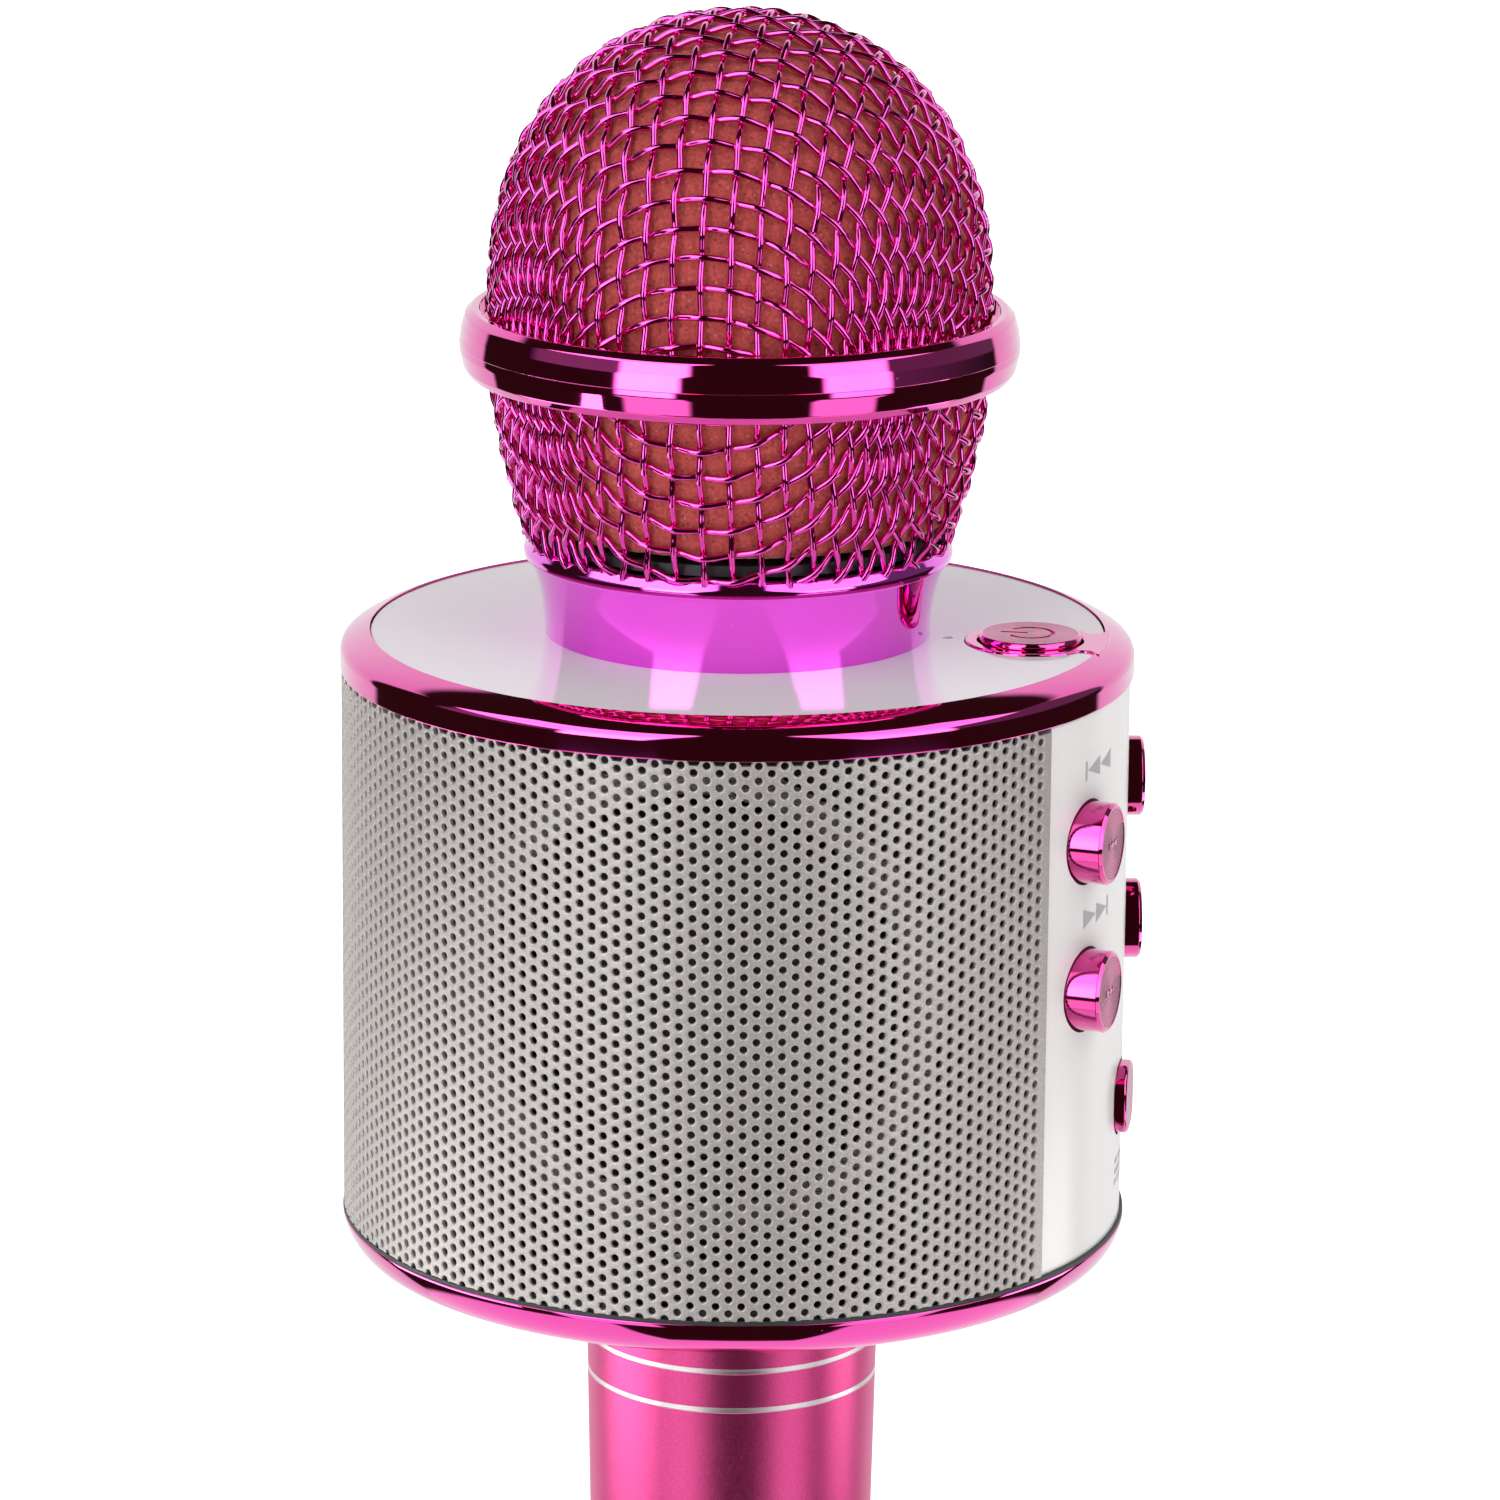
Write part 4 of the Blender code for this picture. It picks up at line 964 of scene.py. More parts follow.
# ---- Perforated grilles -----------------------------------------------------------------
HOLE_PITCH = 1.5 * MM
HOLE_RADIUS = 0.40 * MM
SHEET_THICKNESS = 0.5 * MM
GRILLE_RADIUS = BODY_RADIUS - 0.12 * MM
HOLE_RINGS = ((0.575, 0.0), (0.49, 0.012), (0.425, 0.075), (0.40, 0.16))  # radius, depth in mm
HOLE_SIDES = 12
HIDDEN_EDGE = 0.7 * MM       # of a sheet, behind the ring above and the ring below
WELD = 0.001 * MM


def perforated_mesh(name, start, end):
    """Curved sheet with a honeycomb of real holes, each with a pressed, rounded rim."""
    column_step = HOLE_PITCH * sqrt(3) / 2
    width = GRILLE_RADIUS * (end - start)
    columns = int((width - 1.0 * MM) / column_step)
    margin = (width - (columns - 1) * column_step) / 2
    rows = int((GRILLE_HIGH - GRILLE_LOW + 2 * HIDDEN_EDGE) / HOLE_PITCH)
    first_row = (GRILLE_HIGH + GRILLE_LOW) / 2 - (rows - 0.5) * HOLE_PITCH / 2
    column, row = np.meshgrid(np.arange(columns), np.arange(rows), indexing="ij")
    u = (margin + column * column_step).ravel()
    v = (first_row + (row + 0.5 * (column % 2)) * HOLE_PITCH).ravel()
    sides = np.arange(HOLE_SIDES)
    turn = sides * 2 * pi / HOLE_SIDES
    cell_radius = np.where(sides % 2 == 0, HOLE_PITCH / sqrt(3), HOLE_PITCH / 2)
    rings = [(cell_radius, 0.0)] + [(np.full(HOLE_SIDES, r * MM), d * MM) for r, d in HOLE_RINGS]
    rings += [(np.full(HOLE_SIDES, HOLE_RADIUS), SHEET_THICKNESS), (cell_radius, SHEET_THICKNESS)]
    layers = []
    for radius, depth in rings:
        x = u[:, None] + radius * np.cos(turn)
        z = v[:, None] + radius * np.sin(turn)
        layers.append(np.stack([x, z, np.full_like(x, depth)], 2))
    points = np.stack(layers, 1)
    holes, levels = points.shape[0], points.shape[1]
    index = np.arange(holes * levels * HOLE_SIDES).reshape(holes, levels, HOLE_SIDES)
    after = np.roll(index, -1, 2)
    faces = np.stack([index[:, :-1], index[:, 1:], after[:, 1:], after[:, :-1]], 3).reshape(-1, 4)
    points, faces = add_margins(*weld(points.reshape(-1, 3), faces), width)
    angle = start + points[:, 0] / GRILLE_RADIUS
    radius = GRILLE_RADIUS - points[:, 2]
    places = np.stack([radius * np.cos(angle), radius * np.sin(angle), points[:, 1]], 1)
    return mesh_from_arrays(name, places, [faces])


def weld(points, faces):
    """Join the corners that neighbouring cells share."""
    keys = np.round(points / WELD).astype(np.int64)
    _, where, back = np.unique(keys, axis=0, return_index=True, return_inverse=True)
    return points[where], back.reshape(-1)[faces]


def add_margins(points, faces, width):
    """Fill from the zigzag side columns to the sheet's straight edges, and close the rim."""
    extra_points, extra_faces = [points], [faces]
    count = len(points)
    for side in (0, 1):
        for level in (0.0, SHEET_THICKNESS):
            zigzag = side_zigzag(points, side, level)
            edge = points[zigzag].copy()
            edge[:, 0] = width * side
            new = np.arange(len(edge)) + count
            extra_points.append(edge)
            quads = np.stack([zigzag[:-1], zigzag[1:], new[1:], new[:-1]], 1)
            extra_faces.append(quads if (side == 0) == (level == 0.0) else quads[:, ::-1])
            count += len(edge)
    points, faces = np.vstack(extra_points), np.vstack(extra_faces)
    return points, np.vstack([faces, rim_faces(points, faces)])


def side_zigzag(points, side, level):
    """Indices, from low to high, of the outermost cell corners on one side of one face."""
    reach = 0.44 * MM
    on_level = np.flatnonzero(np.abs(points[:, 2] - level) < 1e-9)
    u = points[on_level, 0]
    limit = u.min() + reach if side == 0 else u.max() - reach
    near = on_level[u <= limit] if side == 0 else on_level[u >= limit]
    return near[np.argsort(points[near, 1])]


def rim_faces(points, faces):
    """Close the sheet's outer rim: join each open edge to the nearest one on the other face."""
    edges = np.vstack([faces[:, [0, 1]], faces[:, [1, 2]], faces[:, [2, 3]], faces[:, [3, 0]]])
    ordered = np.sort(edges, 1)
    _, first, counts = np.unique(ordered, axis=0, return_index=True, return_counts=True)
    open_edges = edges[first[counts == 1]]
    flat = {}
    for i in np.unique(open_edges):
        key = (int(round(points[i, 0] / WELD)), int(round(points[i, 1] / WELD)))
        flat.setdefault(key, {})[points[i, 2] > SHEET_THICKNESS / 2] = i
    twin = {pair[False]: pair[True] for pair in flat.values() if len(pair) == 2}
    quads = [(b, a, twin[a], twin[b]) for a, b in open_edges if a in twin and b in twin]
    return np.array(quads)


def make_grilles():
    """One sheet at the front and one at the back, between the two panels."""
    seam = 0.30 * MM / BODY_RADIUS
    start, end = PANEL_HALF_ANGLE + seam, pi - SOCKET_HALF_ANGLE - seam
    for name, node, first in (("front_perforated_sheet", "front_grille", -end),
                              ("back_perforated_sheet", "back_grille", start)):
        mesh = perforated_mesh(name, first, first + end - start)
        fix_normals(mesh)
        sheet = new_piece(name, mesh, MATERIALS["grille"], 50)
        mount_piece(sheet, MAIN, "grille_paint", node)


# ---- Curved panels ----------------------------------------------------------------------
def curved_panel_mesh(name, half_angle, middle):
    """Wall bent round Z between the two rings of the body, with its outer edges rounded."""
    outer, inner, low, high = PANEL_RADIUS, PANEL_RADIUS - 1.8 * MM, GRILLE_LOW, GRILLE_HIGH
    edge, segments = 0.25 * MM, 72
    section = rounded([(inner, high), (outer, high, edge), (outer, low, edge), (inner, low)], True, 4)
    angles = [middle - half_angle + 2 * half_angle * i / segments for i in range(segments + 1)]
    count = len(section)
    vertices = []
    for angle in angles:
        vertices += [(r * cos(angle), r * sin(angle), z) for r, z in section]
    faces = []
    for i in range(segments):
        for k in range(count):
            n = (k + 1) % count
            faces.append((i * count + k, i * count + n, (i + 1) * count + n, (i + 1) * count + k))
    mesh = bpy.data.meshes.new(name)
    caps = [tuple(range(count))[::-1], tuple(segments * count + k for k in range(count))]
    mesh.from_pydata(vertices, [], faces + caps)
    fix_normals(mesh)
    return mesh


def disc_cutter(radius, low, high, matrix, steps=72):
    mesh = lathe_mesh("disc", [(0.0, high), (radius, high), (radius, low), (0.0, low)], steps)
    return new_object("disc", mesh, matrix)


def rounded_rectangle_loop(width, tall, corner, steps=8):
    half_x, half_y = width / 2 - corner, tall / 2 - corner
    points = []
    for quarter in range(4):
        centre_x = half_x if quarter in (0, 3) else -half_x
        centre_y = half_y if quarter in (0, 1) else -half_y
        for step in range(steps + 1):
            angle = quarter * pi / 2 + step * pi / 2 / steps
            points.append((centre_x + corner * cos(angle), centre_y + corner * sin(angle)))
    return points


def button_place(node):
    """Matrix at the panel's skin on a button's axis, with +Z out along the axis."""
    axis = next(joint["axis"] for joint in frame["joints"] if joint["child"] == node + "_body")
    axis_angle = atan2(-axis[1], -axis[0])
    polar = 0.0 if abs(axis[1]) < 0.01 else copysign(COLUMN_ANGLE, axis_angle)
    turned = facing_out(axis_angle, node_centre(node)[2], 0.0)
    skin = Vector((PANEL_RADIUS * cos(polar), PANEL_RADIUS * sin(polar), 0.0))
    return Matrix.Translation(skin) @ turned


ROUND_BUTTONS = ("skip_back_button", "skip_forward_button", "volume_up_button", "volume_down_button")


def make_control_panel():
    """White panel with a hole for each of its five buttons."""
    panel = curved_panel_mesh("control_cover", PANEL_HALF_ANGLE, 0.0)
    panel = new_piece("control_cover", panel, MATERIALS["panel"])
    holes = [disc_cutter(4.5 * MM, -5 * MM, 4 * MM, button_place(node)) for node in ROUND_BUTTONS]
    square = rounded_rectangle_loop(7.8 * MM, 7.8 * MM, 3.05 * MM)
    holes.append(outline_cutter(square, -4 * MM, 3 * MM, button_place("mode_button")))
    cut(panel, holes)
    shade(panel.data)
    mount_piece(panel, MAIN, "white_gloss", "control_panel")


ICON_SHAPES = {
    # each shape is (left, half-height there, right, half-height there, centre height)
    "skip_back": [(-2.6, 0.8, -2.25, 0.8, 0), (-2.15, 0.0, 0.1, 0.8, 0), (0.2, 0.0, 2.5, 0.8, 0)],
    "skip_forward": [(2.25, 0.8, 2.6, 0.8, 0), (-0.1, 0.8, 2.15, 0.0, 0), (-2.5, 0.8, -0.2, 0.0, 0)],
    "plus": [(-1.1, 0.17, 1.1, 0.17, 0), (-0.17, 1.1, 0.17, 1.1, 0)],
    "minus": [(-1.1, 0.17, 1.1, 0.17, 0)],
    "mode": [(-1.7, 0.18, -0.7, 0.18, 0.7), (-0.3, 0.18, 1.7, 0.18, 0.7), (-1.7, 0.18, 0.7, 0.18, 0),
             (1.1, 0.18, 1.7, 0.18, 0), (-1.7, 0.18, -1.1, 0.18, -0.7), (-0.7, 0.18, 1.7, 0.18, -0.7)],
}


def icon_columns(shapes, step=0.3):
    """Split each trapezium of an icon into narrow columns: (left, right, half, half, centre)."""
    for left, left_half, right, right_half, centre in shapes:
        count = max(1, round((right - left) / step))
        for i in range(count):
            t, n = i / count, (i + 1) / count
            yield (left + (right - left) * t, left + (right - left) * n,
                   left_half + (right_half - left_half) * t,
                   left_half + (right_half - left_half) * n, centre)


# Corners of a block's six faces, when its eight corners are counted left to right, then low
# to high, then under and over.
BLOCK_FACES = ((0, 2, 6, 4), (1, 5, 7, 3), (0, 1, 3, 2), (4, 6, 7, 5), (0, 4, 5, 1), (2, 3, 7, 6))
LEAST_HALF_HEIGHT = 0.02     # of an icon's pointed end


def icon_piece(name, shapes, material, under, over, place_corner):
    """Icon of four-sided blocks; place_corner turns its across, up and out into a point."""
    vertices, faces = [], []
    for left, right, left_half, right_half, centre in shapes:
        base = len(vertices)
        for x, half in ((left, left_half), (right, right_half)):
            half = max(half, LEAST_HALF_HEIGHT)
            for y in (centre - half, centre + half):
                vertices += [place_corner(x, y, under), place_corner(x, y, over)]
        faces += [tuple(base + corner for corner in face) for face in BLOCK_FACES]
    mesh = bpy.data.meshes.new(name)
    mesh.from_pydata(vertices, [], faces)
    fix_normals(mesh)
    return new_piece(name, mesh, MATERIALS[material], 30)


def print_icon(name, shapes, angle, height, scale):
    """Thin raised print that follows the curved panel."""
    def place_corner(x, y, proud):
        turn = angle + x * scale * MM / PANEL_RADIUS
        r = PANEL_RADIUS + proud
        return r * cos(turn), r * sin(turn), height + y * scale * MM

    icon = icon_piece(name, icon_columns(shapes), "print", -0.03 * MM, 0.015 * MM, place_corner)
    mount_piece(icon, MAIN, "black_plastic")


LABEL_ANGLE = radians(16.2)
BUTTON_ICONS = ("skip_back", "skip_forward", "plus", "minus")    # in the order of ROUND_BUTTONS


def make_labels():
    """Icon above each round button, and one below the mode button."""
    above = 7.6 * MM
    for node, icon, side in zip(ROUND_BUTTONS, BUTTON_ICONS, (-1, -1, 1, 1)):
        height = button_place(node).translation.z
        print_icon(icon + "_label", ICON_SHAPES[icon], side * LABEL_ANGLE, height + above, 1.3)
    height = button_place("mode_button").translation.z
    print_icon("mode_label", ICON_SHAPES["mode"], 0.0, height - above, 1.6)


# ---- Buttons ----------------------------------------------------------------------------
def face_icon(name, shapes, scale, top):
    """Glyph that stands a hair above a button's face, as a flat mesh at its local origin."""
    blocks = [(left, right, left_half, right_half, centre)
              for left, left_half, right, right_half, centre in shapes]
    return icon_piece(name, blocks, "button", top - 0.10 * MM, top + 0.04 * MM,
                      lambda x, y, z: (x * scale * MM, y * scale * MM, z))


def make_button(node, cap, flange, icon, scale, face):
    """Put a cap in its hole, with a black flanged stem behind it and a glyph on its face."""
    profile = offset(0.0, 0.0, [(0.0, -3.4), (flange, -3.4, 0.1), (flange, -4.1, 0.1), (1.3, -4.1),
                                (1.3, -5.7, 0.2), (0.0, -5.7)])
    stem = lathe_piece(node.replace("button", "stem"), profile, MATERIALS["black"], 48, closed=False)
    glyph = face_icon(node.replace("button", "glyph"), ICON_SHAPES[icon], scale, face)
    for piece, stands_for in ((cap, [node]), (stem, []), (glyph, [])):
        piece.matrix_world = button_place(node)
        mount_piece(piece, node + "_body", "magenta_plating", *stands_for)


def make_round_button(node, icon):
    """Cap with a plated wall and a spun face set inside a fine bevel."""
    profile = offset(0.0, ROUND_PROUD, [(0.0, -0.06), (3.72, -0.06, 0.03), (3.80, 0.0, 0.03),
                                        (3.96, 0.0, 0.06), (4.25, -0.32, 0.12)])
    profile += offset(0.0, 0.0, [(4.25, -3.4), (0.0, -3.4)])
    cap = lathe_piece(node.replace("button", "cap"), profile, MATERIALS["button"], 120, closed=False)
    spin_face(cap, 3.73 * MM, ROUND_PROUD - 0.2 * MM)
    make_button(node, cap, 5.2, icon, 0.45, ROUND_PROUD - 0.06 * MM)


def spin_face(obj, radius, height):
    """Give the faces inside a radius and above a height the spun finish."""
    obj.data.materials.append(MATERIALS["spun"])
    for face in obj.data.polygons:
        inside = face.center.z > height and hypot(face.center.x, face.center.y) < radius
        if inside and face.normal.z > 0.9:
            face.material_index = 1


def make_mode_button():
    """Square cap with round corners and a spun face."""
    loop = rounded_rectangle_loop(7.3 * MM, 7.3 * MM, 2.8 * MM, 12)
    cap = outline_solid("mode_cap", [loop], -3.6 * MM, MODE_PROUD, 0.35 * MM, 4)
    cap = new_piece("mode_cap", cap, MATERIALS["button"])
    spin_face(cap, 6 * MM, MODE_PROUD - 0.05 * MM)
    make_button("mode_button", cap, 4.4, "mode", 0.7, MODE_PROUD - 0.06 * MM)


def make_power_button():
    """Raised cap with an engraved power sign, its bar towards the neck."""
    low, cap_high = node_low("power_button").z, node_high("power_button").z
    wall = offset(POWER_CAP_RADIUS, cap_high, [(-0.2, 0.0, 0.25), (0.0, -0.35, 0.25), (0.0, -3.0)])
    flange = offset(0.0, cap_high, [(6.0, -3.0, 0.1), (6.0, -3.6, 0.1), (1.3, -3.6)])
    profile = [(0.0, cap_high)] + wall + flange + [(1.3 * MM, low, 0.2 * MM), (0.0, low)]
    cap = lathe_piece("power_cap", profile, MATERIALS["button"], 140, closed=False)
    groove_low, groove_high = cap_high - 0.22 * MM, cap_high + MM
    mean, half = 2.35 * MM, 0.22 * MM
    gap = radians(34)
    ring = arc_between((0, 0), mean + half, gap - pi, pi - gap, 60)
    ring += arc_between((0, 0), mean - half, pi - gap, gap - pi, 60)
    bar = rectangle(-3.1 * MM, -half, -0.3 * MM, half)
    cut(cap, [outline_cutter(loop, groove_low, groove_high) for loop in (ring, bar)])
    shade(cap.data)
    spin_face(cap, POWER_CAP_RADIUS - 0.35 * MM, cap_high - 0.3 * MM)
    cap.location.x = POWER_X
    mount_piece(cap, "power_button_body", "magenta_plating", "power_button")


# ---- Socket panel -----------------------------------------------------------------------
def socket_place(node):
    return facing_out(pi, node_centre(node)[2], PANEL_RADIUS)


def make_socket_panel():
    """White panel at the back with an opening round each socket."""
    panel = curved_panel_mesh("socket_cover", SOCKET_HALF_ANGLE, pi)
    panel = new_piece("socket_cover", panel, MATERIALS["panel"])
    openings = []
    for node, corner in (("data_socket", 0.3), ("card_socket", 0.4), ("charge_socket", 0.7)):
        low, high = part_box(node)
        loop = rounded_rectangle_loop(high.y - low.y + 0.6 * MM, high.z - low.z + 0.6 * MM,
                                      corner * MM, 5)
        openings.append(outline_cutter(loop, -5 * MM, 5 * MM, socket_place(node)))
    openings.append(disc_cutter(3.15 * MM, -5 * MM, 5 * MM, socket_place("audio_socket")))
    cut(panel, openings)
    shade(panel.data)
    mount_piece(panel, MAIN, "white_gloss", "socket_panel")


# ---- Handle -----------------------------------------------------------------------------
GROOVE_HEIGHTS = (0.1031, 0.0988, 0.0210, 0.0167)


def handle_radius(height):
    t = (height - HANDLE_LOW) / (HANDLE_HIGH - HANDLE_LOW)
    return HANDLE_TAIL_RADIUS + (HANDLE_TOP_RADIUS - HANDLE_TAIL_RADIUS) * t


def make_handle():
    """Tube with diamond-cut grooves whose bare faces stay silver."""
    half, depth, flat, bore = 0.31 * MM, 0.08 * MM, 0.24 * MM, 12.4 * MM
    outline = [(HANDLE_TOP_RADIUS, HANDLE_HIGH, 0.3 * MM)]
    for height in GROOVE_HEIGHTS:
        r = handle_radius(height)
        outline += [(r, height + half), (r - depth, height + flat), (r - depth, height - flat),
                    (r, height - half)]
    outline += [(HANDLE_TAIL_RADIUS, HANDLE_LOW, 0.15 * MM), (bore, HANDLE_LOW), (bore, HANDLE_HIGH)]
    tube = lathe_piece("grip_tube", outline, MATERIALS["handle"], 200)
    tube.data.materials.append(MATERIALS["groove"])
    for face in tube.data.polygons:
        near = min(abs(face.center.z - height) for height in GROOVE_HEIGHTS)
        if near < half and hypot(face.center.x, face.center.y) > bore + 0.2 * MM:
            face.material_index = 1
    tube.data.set_sharp_from_angle(angle=radians(20))
    mount_piece(tube, MAIN, "pink_anodised", "handle_tube")
    shoulder = HANDLE_LOW - 0.3 * MM
    plug = [(0.0, 14.0 * MM), (12.0 * MM, 14.0 * MM, 0.3 * MM), (12.0 * MM, shoulder),
            (HANDLE_TAIL_RADIUS, shoulder, 0.15 * MM)]
    wall = offset(HANDLE_TAIL_RADIUS, 0.0, [(0.0, 1.6, 0.2), (-0.12, 1.45), (-0.12, 1.2), (0.0, 1.05),
                                            (0.0, 0.0, 0.5)])
    tail = offset(0.0, 0.0, [(9.0, 0.0, 0.3), (8.6, 0.4, 0.3), (0.0, 0.4)])
    cap = lathe_piece("tail_plug", plug + wall + tail, MATERIALS["handle"], 200, closed=False)
    mount_piece(cap, MAIN, "pink_anodised", "tail_cap")


# ---- Carried-over CAD nodes --------------------------------------------------------------
NODE_FINISHES = {
    "steel": ("front_speaker_basket", "back_speaker_basket", "battery_contact", "battery_spring",
              "mic_capsule", "data_socket", "card_socket", "charge_socket", "audio_socket"),
    "black": ("chassis", "battery_cradle", "head_base", "skip_back_switch", "skip_forward_switch",
              "volume_up_switch", "volume_down_switch", "mode_switch", "power_switch"),
    "cone": ("front_speaker_cone", "back_speaker_cone"),
    "rubber": ("front_speaker_surround", "back_speaker_surround", "capsule_holder"),
    "ferrite": ("front_speaker_magnet", "back_speaker_magnet"),
    "board": ("main_board", "control_board", "socket_board", "power_board"),
    "cell": ("battery_cell",),
    "lens": ("indicator_lens",),
    "handle": ("handle_adapter",),
}


def dress_nodes():
    for finish, nodes in NODE_FINISHES.items():
        for node in nodes:
            obj = frame["nodes"][node]
            obj.data.materials.clear()
            obj.data.materials.append(MATERIALS[finish])


# ---- Studio -----------------------------------------------------------------------------
def make_camera():
    distance, aim_height, elevation, roll = 0.7284, 0.17965, radians(13.38), radians(0.47)
    data = bpy.data.cameras.new("camera")
    data.sensor_width = 36.0
    data.lens = 167.25
    data.shift_x, data.shift_y = 0.0083, -0.081
    data.clip_start, data.clip_end = 0.01, 50.0
    camera = new_object("camera", data)
    towards = Vector((sin(CAMERA_AZIMUTH) * cos(elevation), -cos(CAMERA_AZIMUTH) * cos(elevation),
                      sin(elevation)))
    turn = (-towards).to_track_quat("-Z", "Y").to_matrix().to_4x4() @ Matrix.Rotation(roll, 4, "Z")
    camera.matrix_world = Matrix.Translation(Vector((0, 0, aim_height)) + towards * distance) @ turn
    bpy.context.scene.camera = camera


def studio_direction(azimuth_from_camera):
    """Unit vector on the floor plane, at an angle to the right of the camera's own side."""
    angle = CAMERA_AZIMUTH + radians(azimuth_from_camera)
    return Vector((sin(angle), -cos(angle), 0.0))


def softbox(name, azimuth, height, distance, width, tall, radiance):
    """Upright soft light beside the object, unseen by the camera itself."""
    light = bpy.data.lights.new(name, "AREA")
    light.shape = "RECTANGLE"
    light.size, light.size_y = width, tall
    light.energy = radiance * pi * width * tall
    obj = new_object(name, light)
    out = studio_direction(azimuth)
    obj.location = out * distance + Vector((0.0, 0.0, height))
    obj.rotation_mode = "QUATERNION"
    obj.rotation_quaternion = (-out).to_track_quat("-Z", "Y")
    obj.visible_camera = False


def top_fill():
    """Soft light from straight above that leaves no highlight of its own."""
    light = bpy.data.lights.new("top_fill", "AREA")
    light.size, light.energy = 1.2, 4.2
    obj = new_object("top_fill", light)
    obj.location.z = 1.4
    obj.visible_camera = obj.visible_glossy = False


class WorldNodes(NodeTree):
    """Tests and blends of directions; angles are in degrees from the camera's side."""

    def above(self, value, limit, soft=2.0):
        """1 above a limit and 0 below it, with a soft edge."""
        over = self.maths("SUBTRACT", value, limit)
        return self.node("ShaderNodeMapRange", {0: over, 1: -soft, 2: soft},
                         interpolation_type="SMOOTHSTEP").outputs[0]

    def slope(self, value, start, end, at_start, at_end):
        """Straight change between two values, level outside them."""
        inputs = {0: value, 1: start, 2: end, 3: at_start, 4: at_end}
        return self.node("ShaderNodeMapRange", inputs).outputs[0]

    def between(self, value, low, high):
        return self.both(self.above(value, low), self.below(value, high))

    def below(self, value, limit, soft=2.0):
        return self.maths("SUBTRACT", 1.0, self.above(value, limit, soft))

    def both(self, *factors):
        result = factors[0]
        for factor in factors[1:]:
            result = self.maths("MULTIPLY", result, factor)
        return result

    def either(self, a, b):
        return self.maths("MAXIMUM", a, b)

    def along(self, way, direction):
        return self.node("ShaderNodeVectorMath", {0: way, 1: tuple(direction)},
                         operation="DOT_PRODUCT").outputs["Value"]


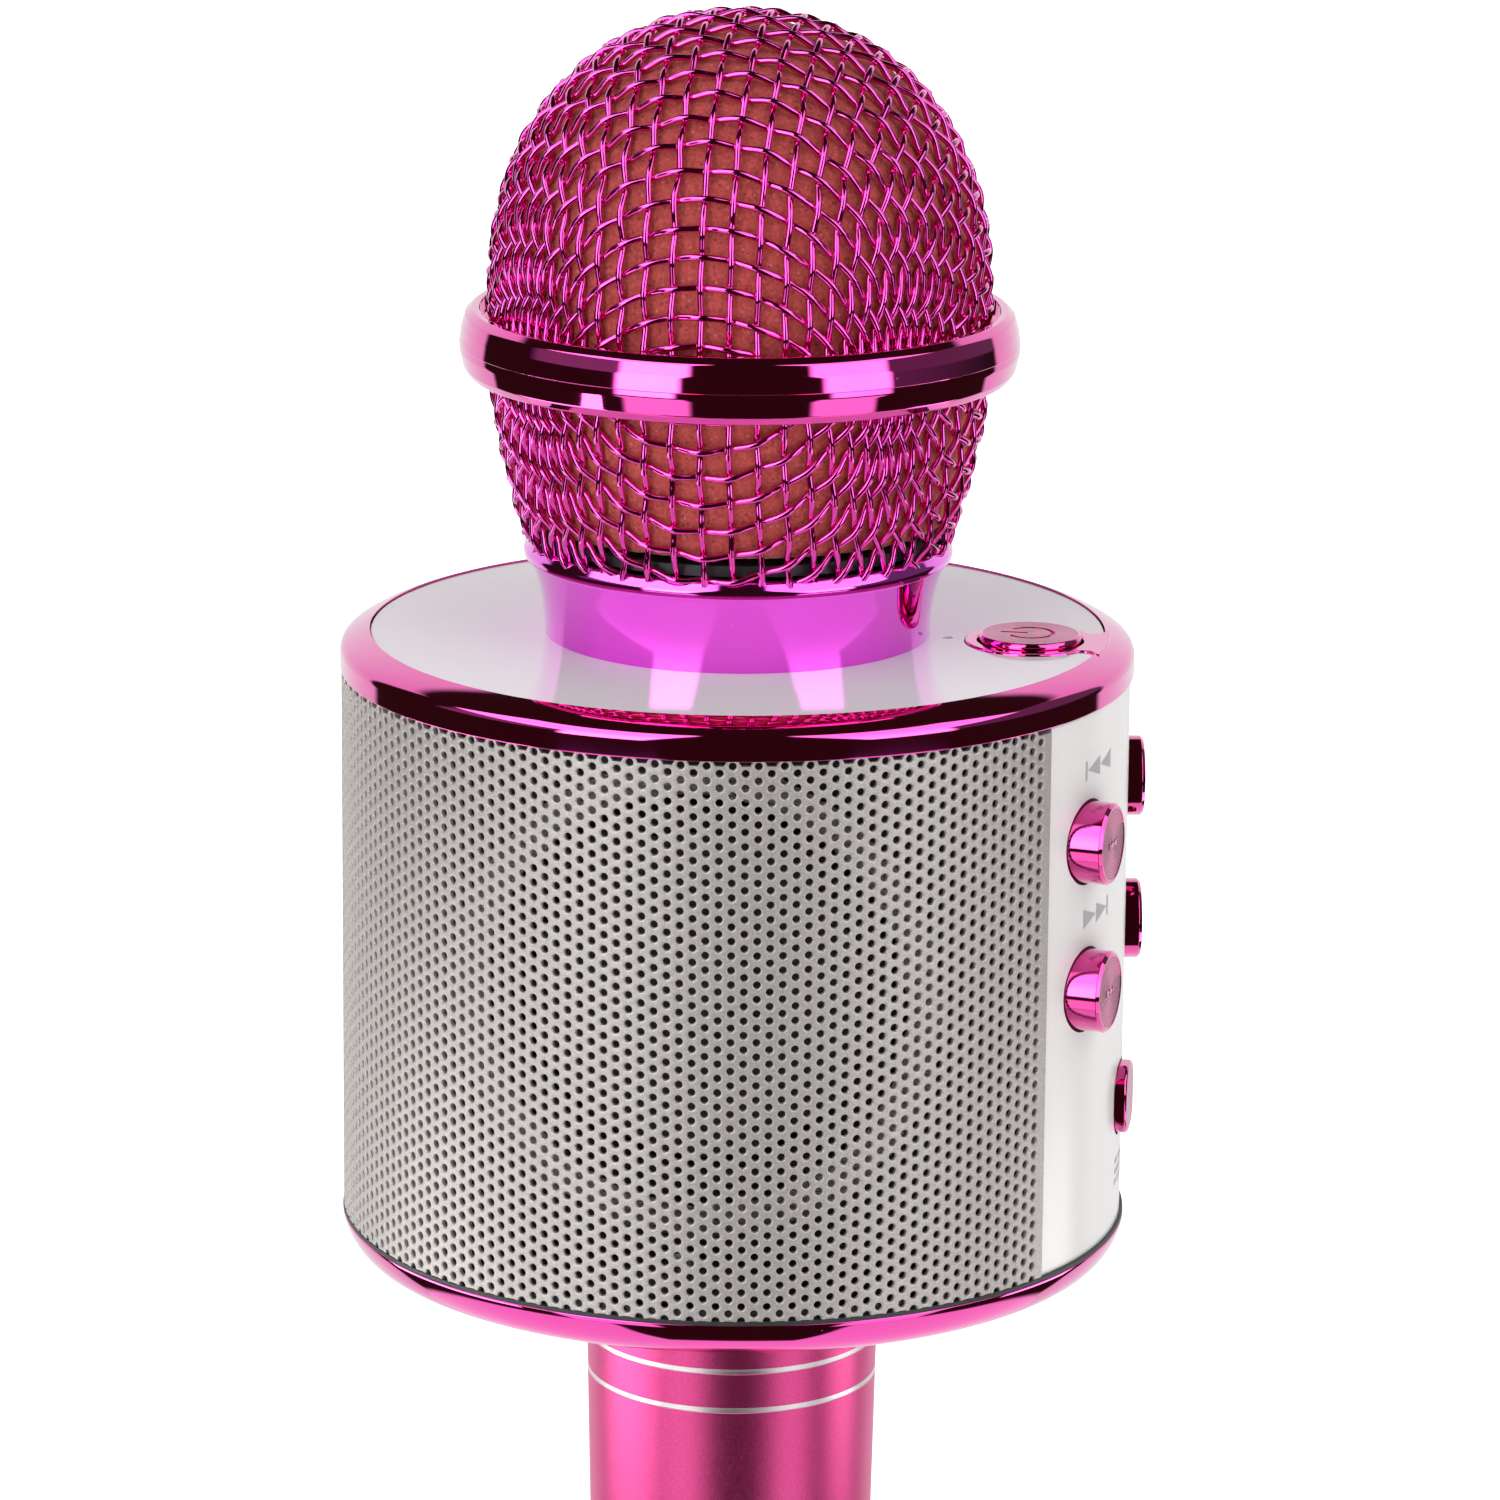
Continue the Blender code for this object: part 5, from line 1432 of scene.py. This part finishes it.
def make_world():
    """What the plating mirrors: a dark room, a white sweep behind and two tall soft boxes.

    The boxes lean, are brightest low down and show again in the table's gloss below. The camera
    itself sees plain white.
    """
    world = bpy.data.worlds.new("studio")
    world.use_nodes = True
    bpy.context.scene.world = world
    tree = world.node_tree
    tree.nodes.clear()
    w = WorldNodes(tree)
    way = w.node("ShaderNodeTexCoord").outputs["Generated"]
    ahead, right = w.along(way, studio_direction(0)), w.along(way, studio_direction(90))
    round_it = w.maths("MULTIPLY", w.maths("ARCTAN2", right, ahead), 180 / pi)
    aside = w.maths("ABSOLUTE", round_it)
    height = w.maths("MULTIPLY", w.maths("ARCSINE", w.along(way, (0, 0, 1))), 180 / pi)
    sweep = w.both(w.above(aside, 128.0), w.below(height, 38.0), 0.85)
    table = w.both(w.below(height, -40.0), w.either(w.above(aside, 40.0), w.below(height, -73.0)))
    left_glow = w.both(w.below(round_it, -50.0, 4.0), w.above(round_it, -95.0, 4.0),
                       w.above(height, 10.0, 3.0), w.below(height, 40.0), 0.22)
    right_glow = w.both(w.above(round_it, 60.0, 4.0), w.below(round_it, 128.0),
                        w.above(height, 0.0, 6.0), w.below(height, 40.0), 0.12)
    left_box = w.both(w.above(round_it, w.slope(height, 21, 34, -51, -100)),
                      w.below(round_it, w.slope(height, -9, 50, -27.5, -15)),
                      w.between(height, -6.0, 58.0), w.slope(height, 12, 34, 4.6, 2.6))
    right_box = w.both(w.above(round_it, w.slope(height, -9, 50, 39, 21)),
                       w.below(round_it, w.slope(height, 21, 34, 64, 100)),
                       w.between(height, -6.0, 58.0), w.slope(height, 12, 34, 3.2, 1.9))
    table_gloss = w.between(height, -40.0, -16.0)
    left_mirrored = w.both(w.between(round_it, -53.0, -22.5), table_gloss, 1.3)
    right_mirrored = w.both(w.between(round_it, 33.0, 63.0), table_gloss, 1.3)
    white = sweep
    for light in (table, left_glow, right_glow, left_box, right_box, left_mirrored, right_mirrored):
        white = w.either(white, light)
    grey = w.node("ShaderNodeCombineXYZ", {0: white, 1: white, 2: white}).outputs[0]
    dark_room = (0.024, 0.014, 0.008)
    colour = w.node("ShaderNodeVectorMath", {0: grey, 1: dark_room}, operation="MAXIMUM").outputs[0]
    seen = w.node("ShaderNodeLightPath").outputs["Is Camera Ray"]
    shown = w.node("ShaderNodeMix", {0: seen, 6: colour, 7: (1.0, 1.0, 1.0, 1.0)}, data_type="RGBA")
    background = w.node("ShaderNodeBackground", {"Color": shown.outputs[2]})
    w.node("ShaderNodeOutputWorld", {"Surface": background.outputs[0]})


def make_floor():
    """Pale round floor; it lights the object but isn't mirrored in its plating."""
    shape = bmesh.new()
    bmesh.ops.create_circle(shape, cap_ends=True, segments=96, radius=6.0)
    mesh = bpy.data.meshes.new("floor")
    shape.to_mesh(mesh)
    shape.free()
    s = Shader("floor")
    s.set(colour=s.blend(s.noise(3.0), (0.90, 0.90, 0.905), (0.92, 0.92, 0.92)), roughness=0.9,
          specular=0.1)
    s.surface.inputs["Emission Color"].default_value = (1.0, 1.0, 1.0, 1.0)
    s.surface.inputs["Emission Strength"].default_value = 0.8
    floor = new_object("floor", mesh)
    mesh.materials.append(s.material)
    floor.location.z = -0.0002
    floor.visible_glossy = False


def make_studio():
    bpy.context.scene.view_settings.view_transform = "Standard"
    make_world()
    make_floor()
    softbox("left_strip", -86, 0.03, 0.25, 0.24, 0.06, 4.4)
    softbox("right_strip", 96, 0.03, 0.25, 0.13, 0.06, 3.0)
    top_fill()


# ---- Build ------------------------------------------------------------------------------
make_camera()
make_studio()
make_meshes()
make_band()
make_foam()
make_collar()
make_top_ring()
make_top_plate()
make_bottom_ring()
make_joint_shade_strip()
make_bottom_cover()
make_screws()
make_grilles()
make_control_panel()
make_labels()
for button, icon in zip(ROUND_BUTTONS, BUTTON_ICONS):
    make_round_button(button, icon)
make_mode_button()
make_power_button()
make_socket_panel()
make_handle()
dress_nodes()
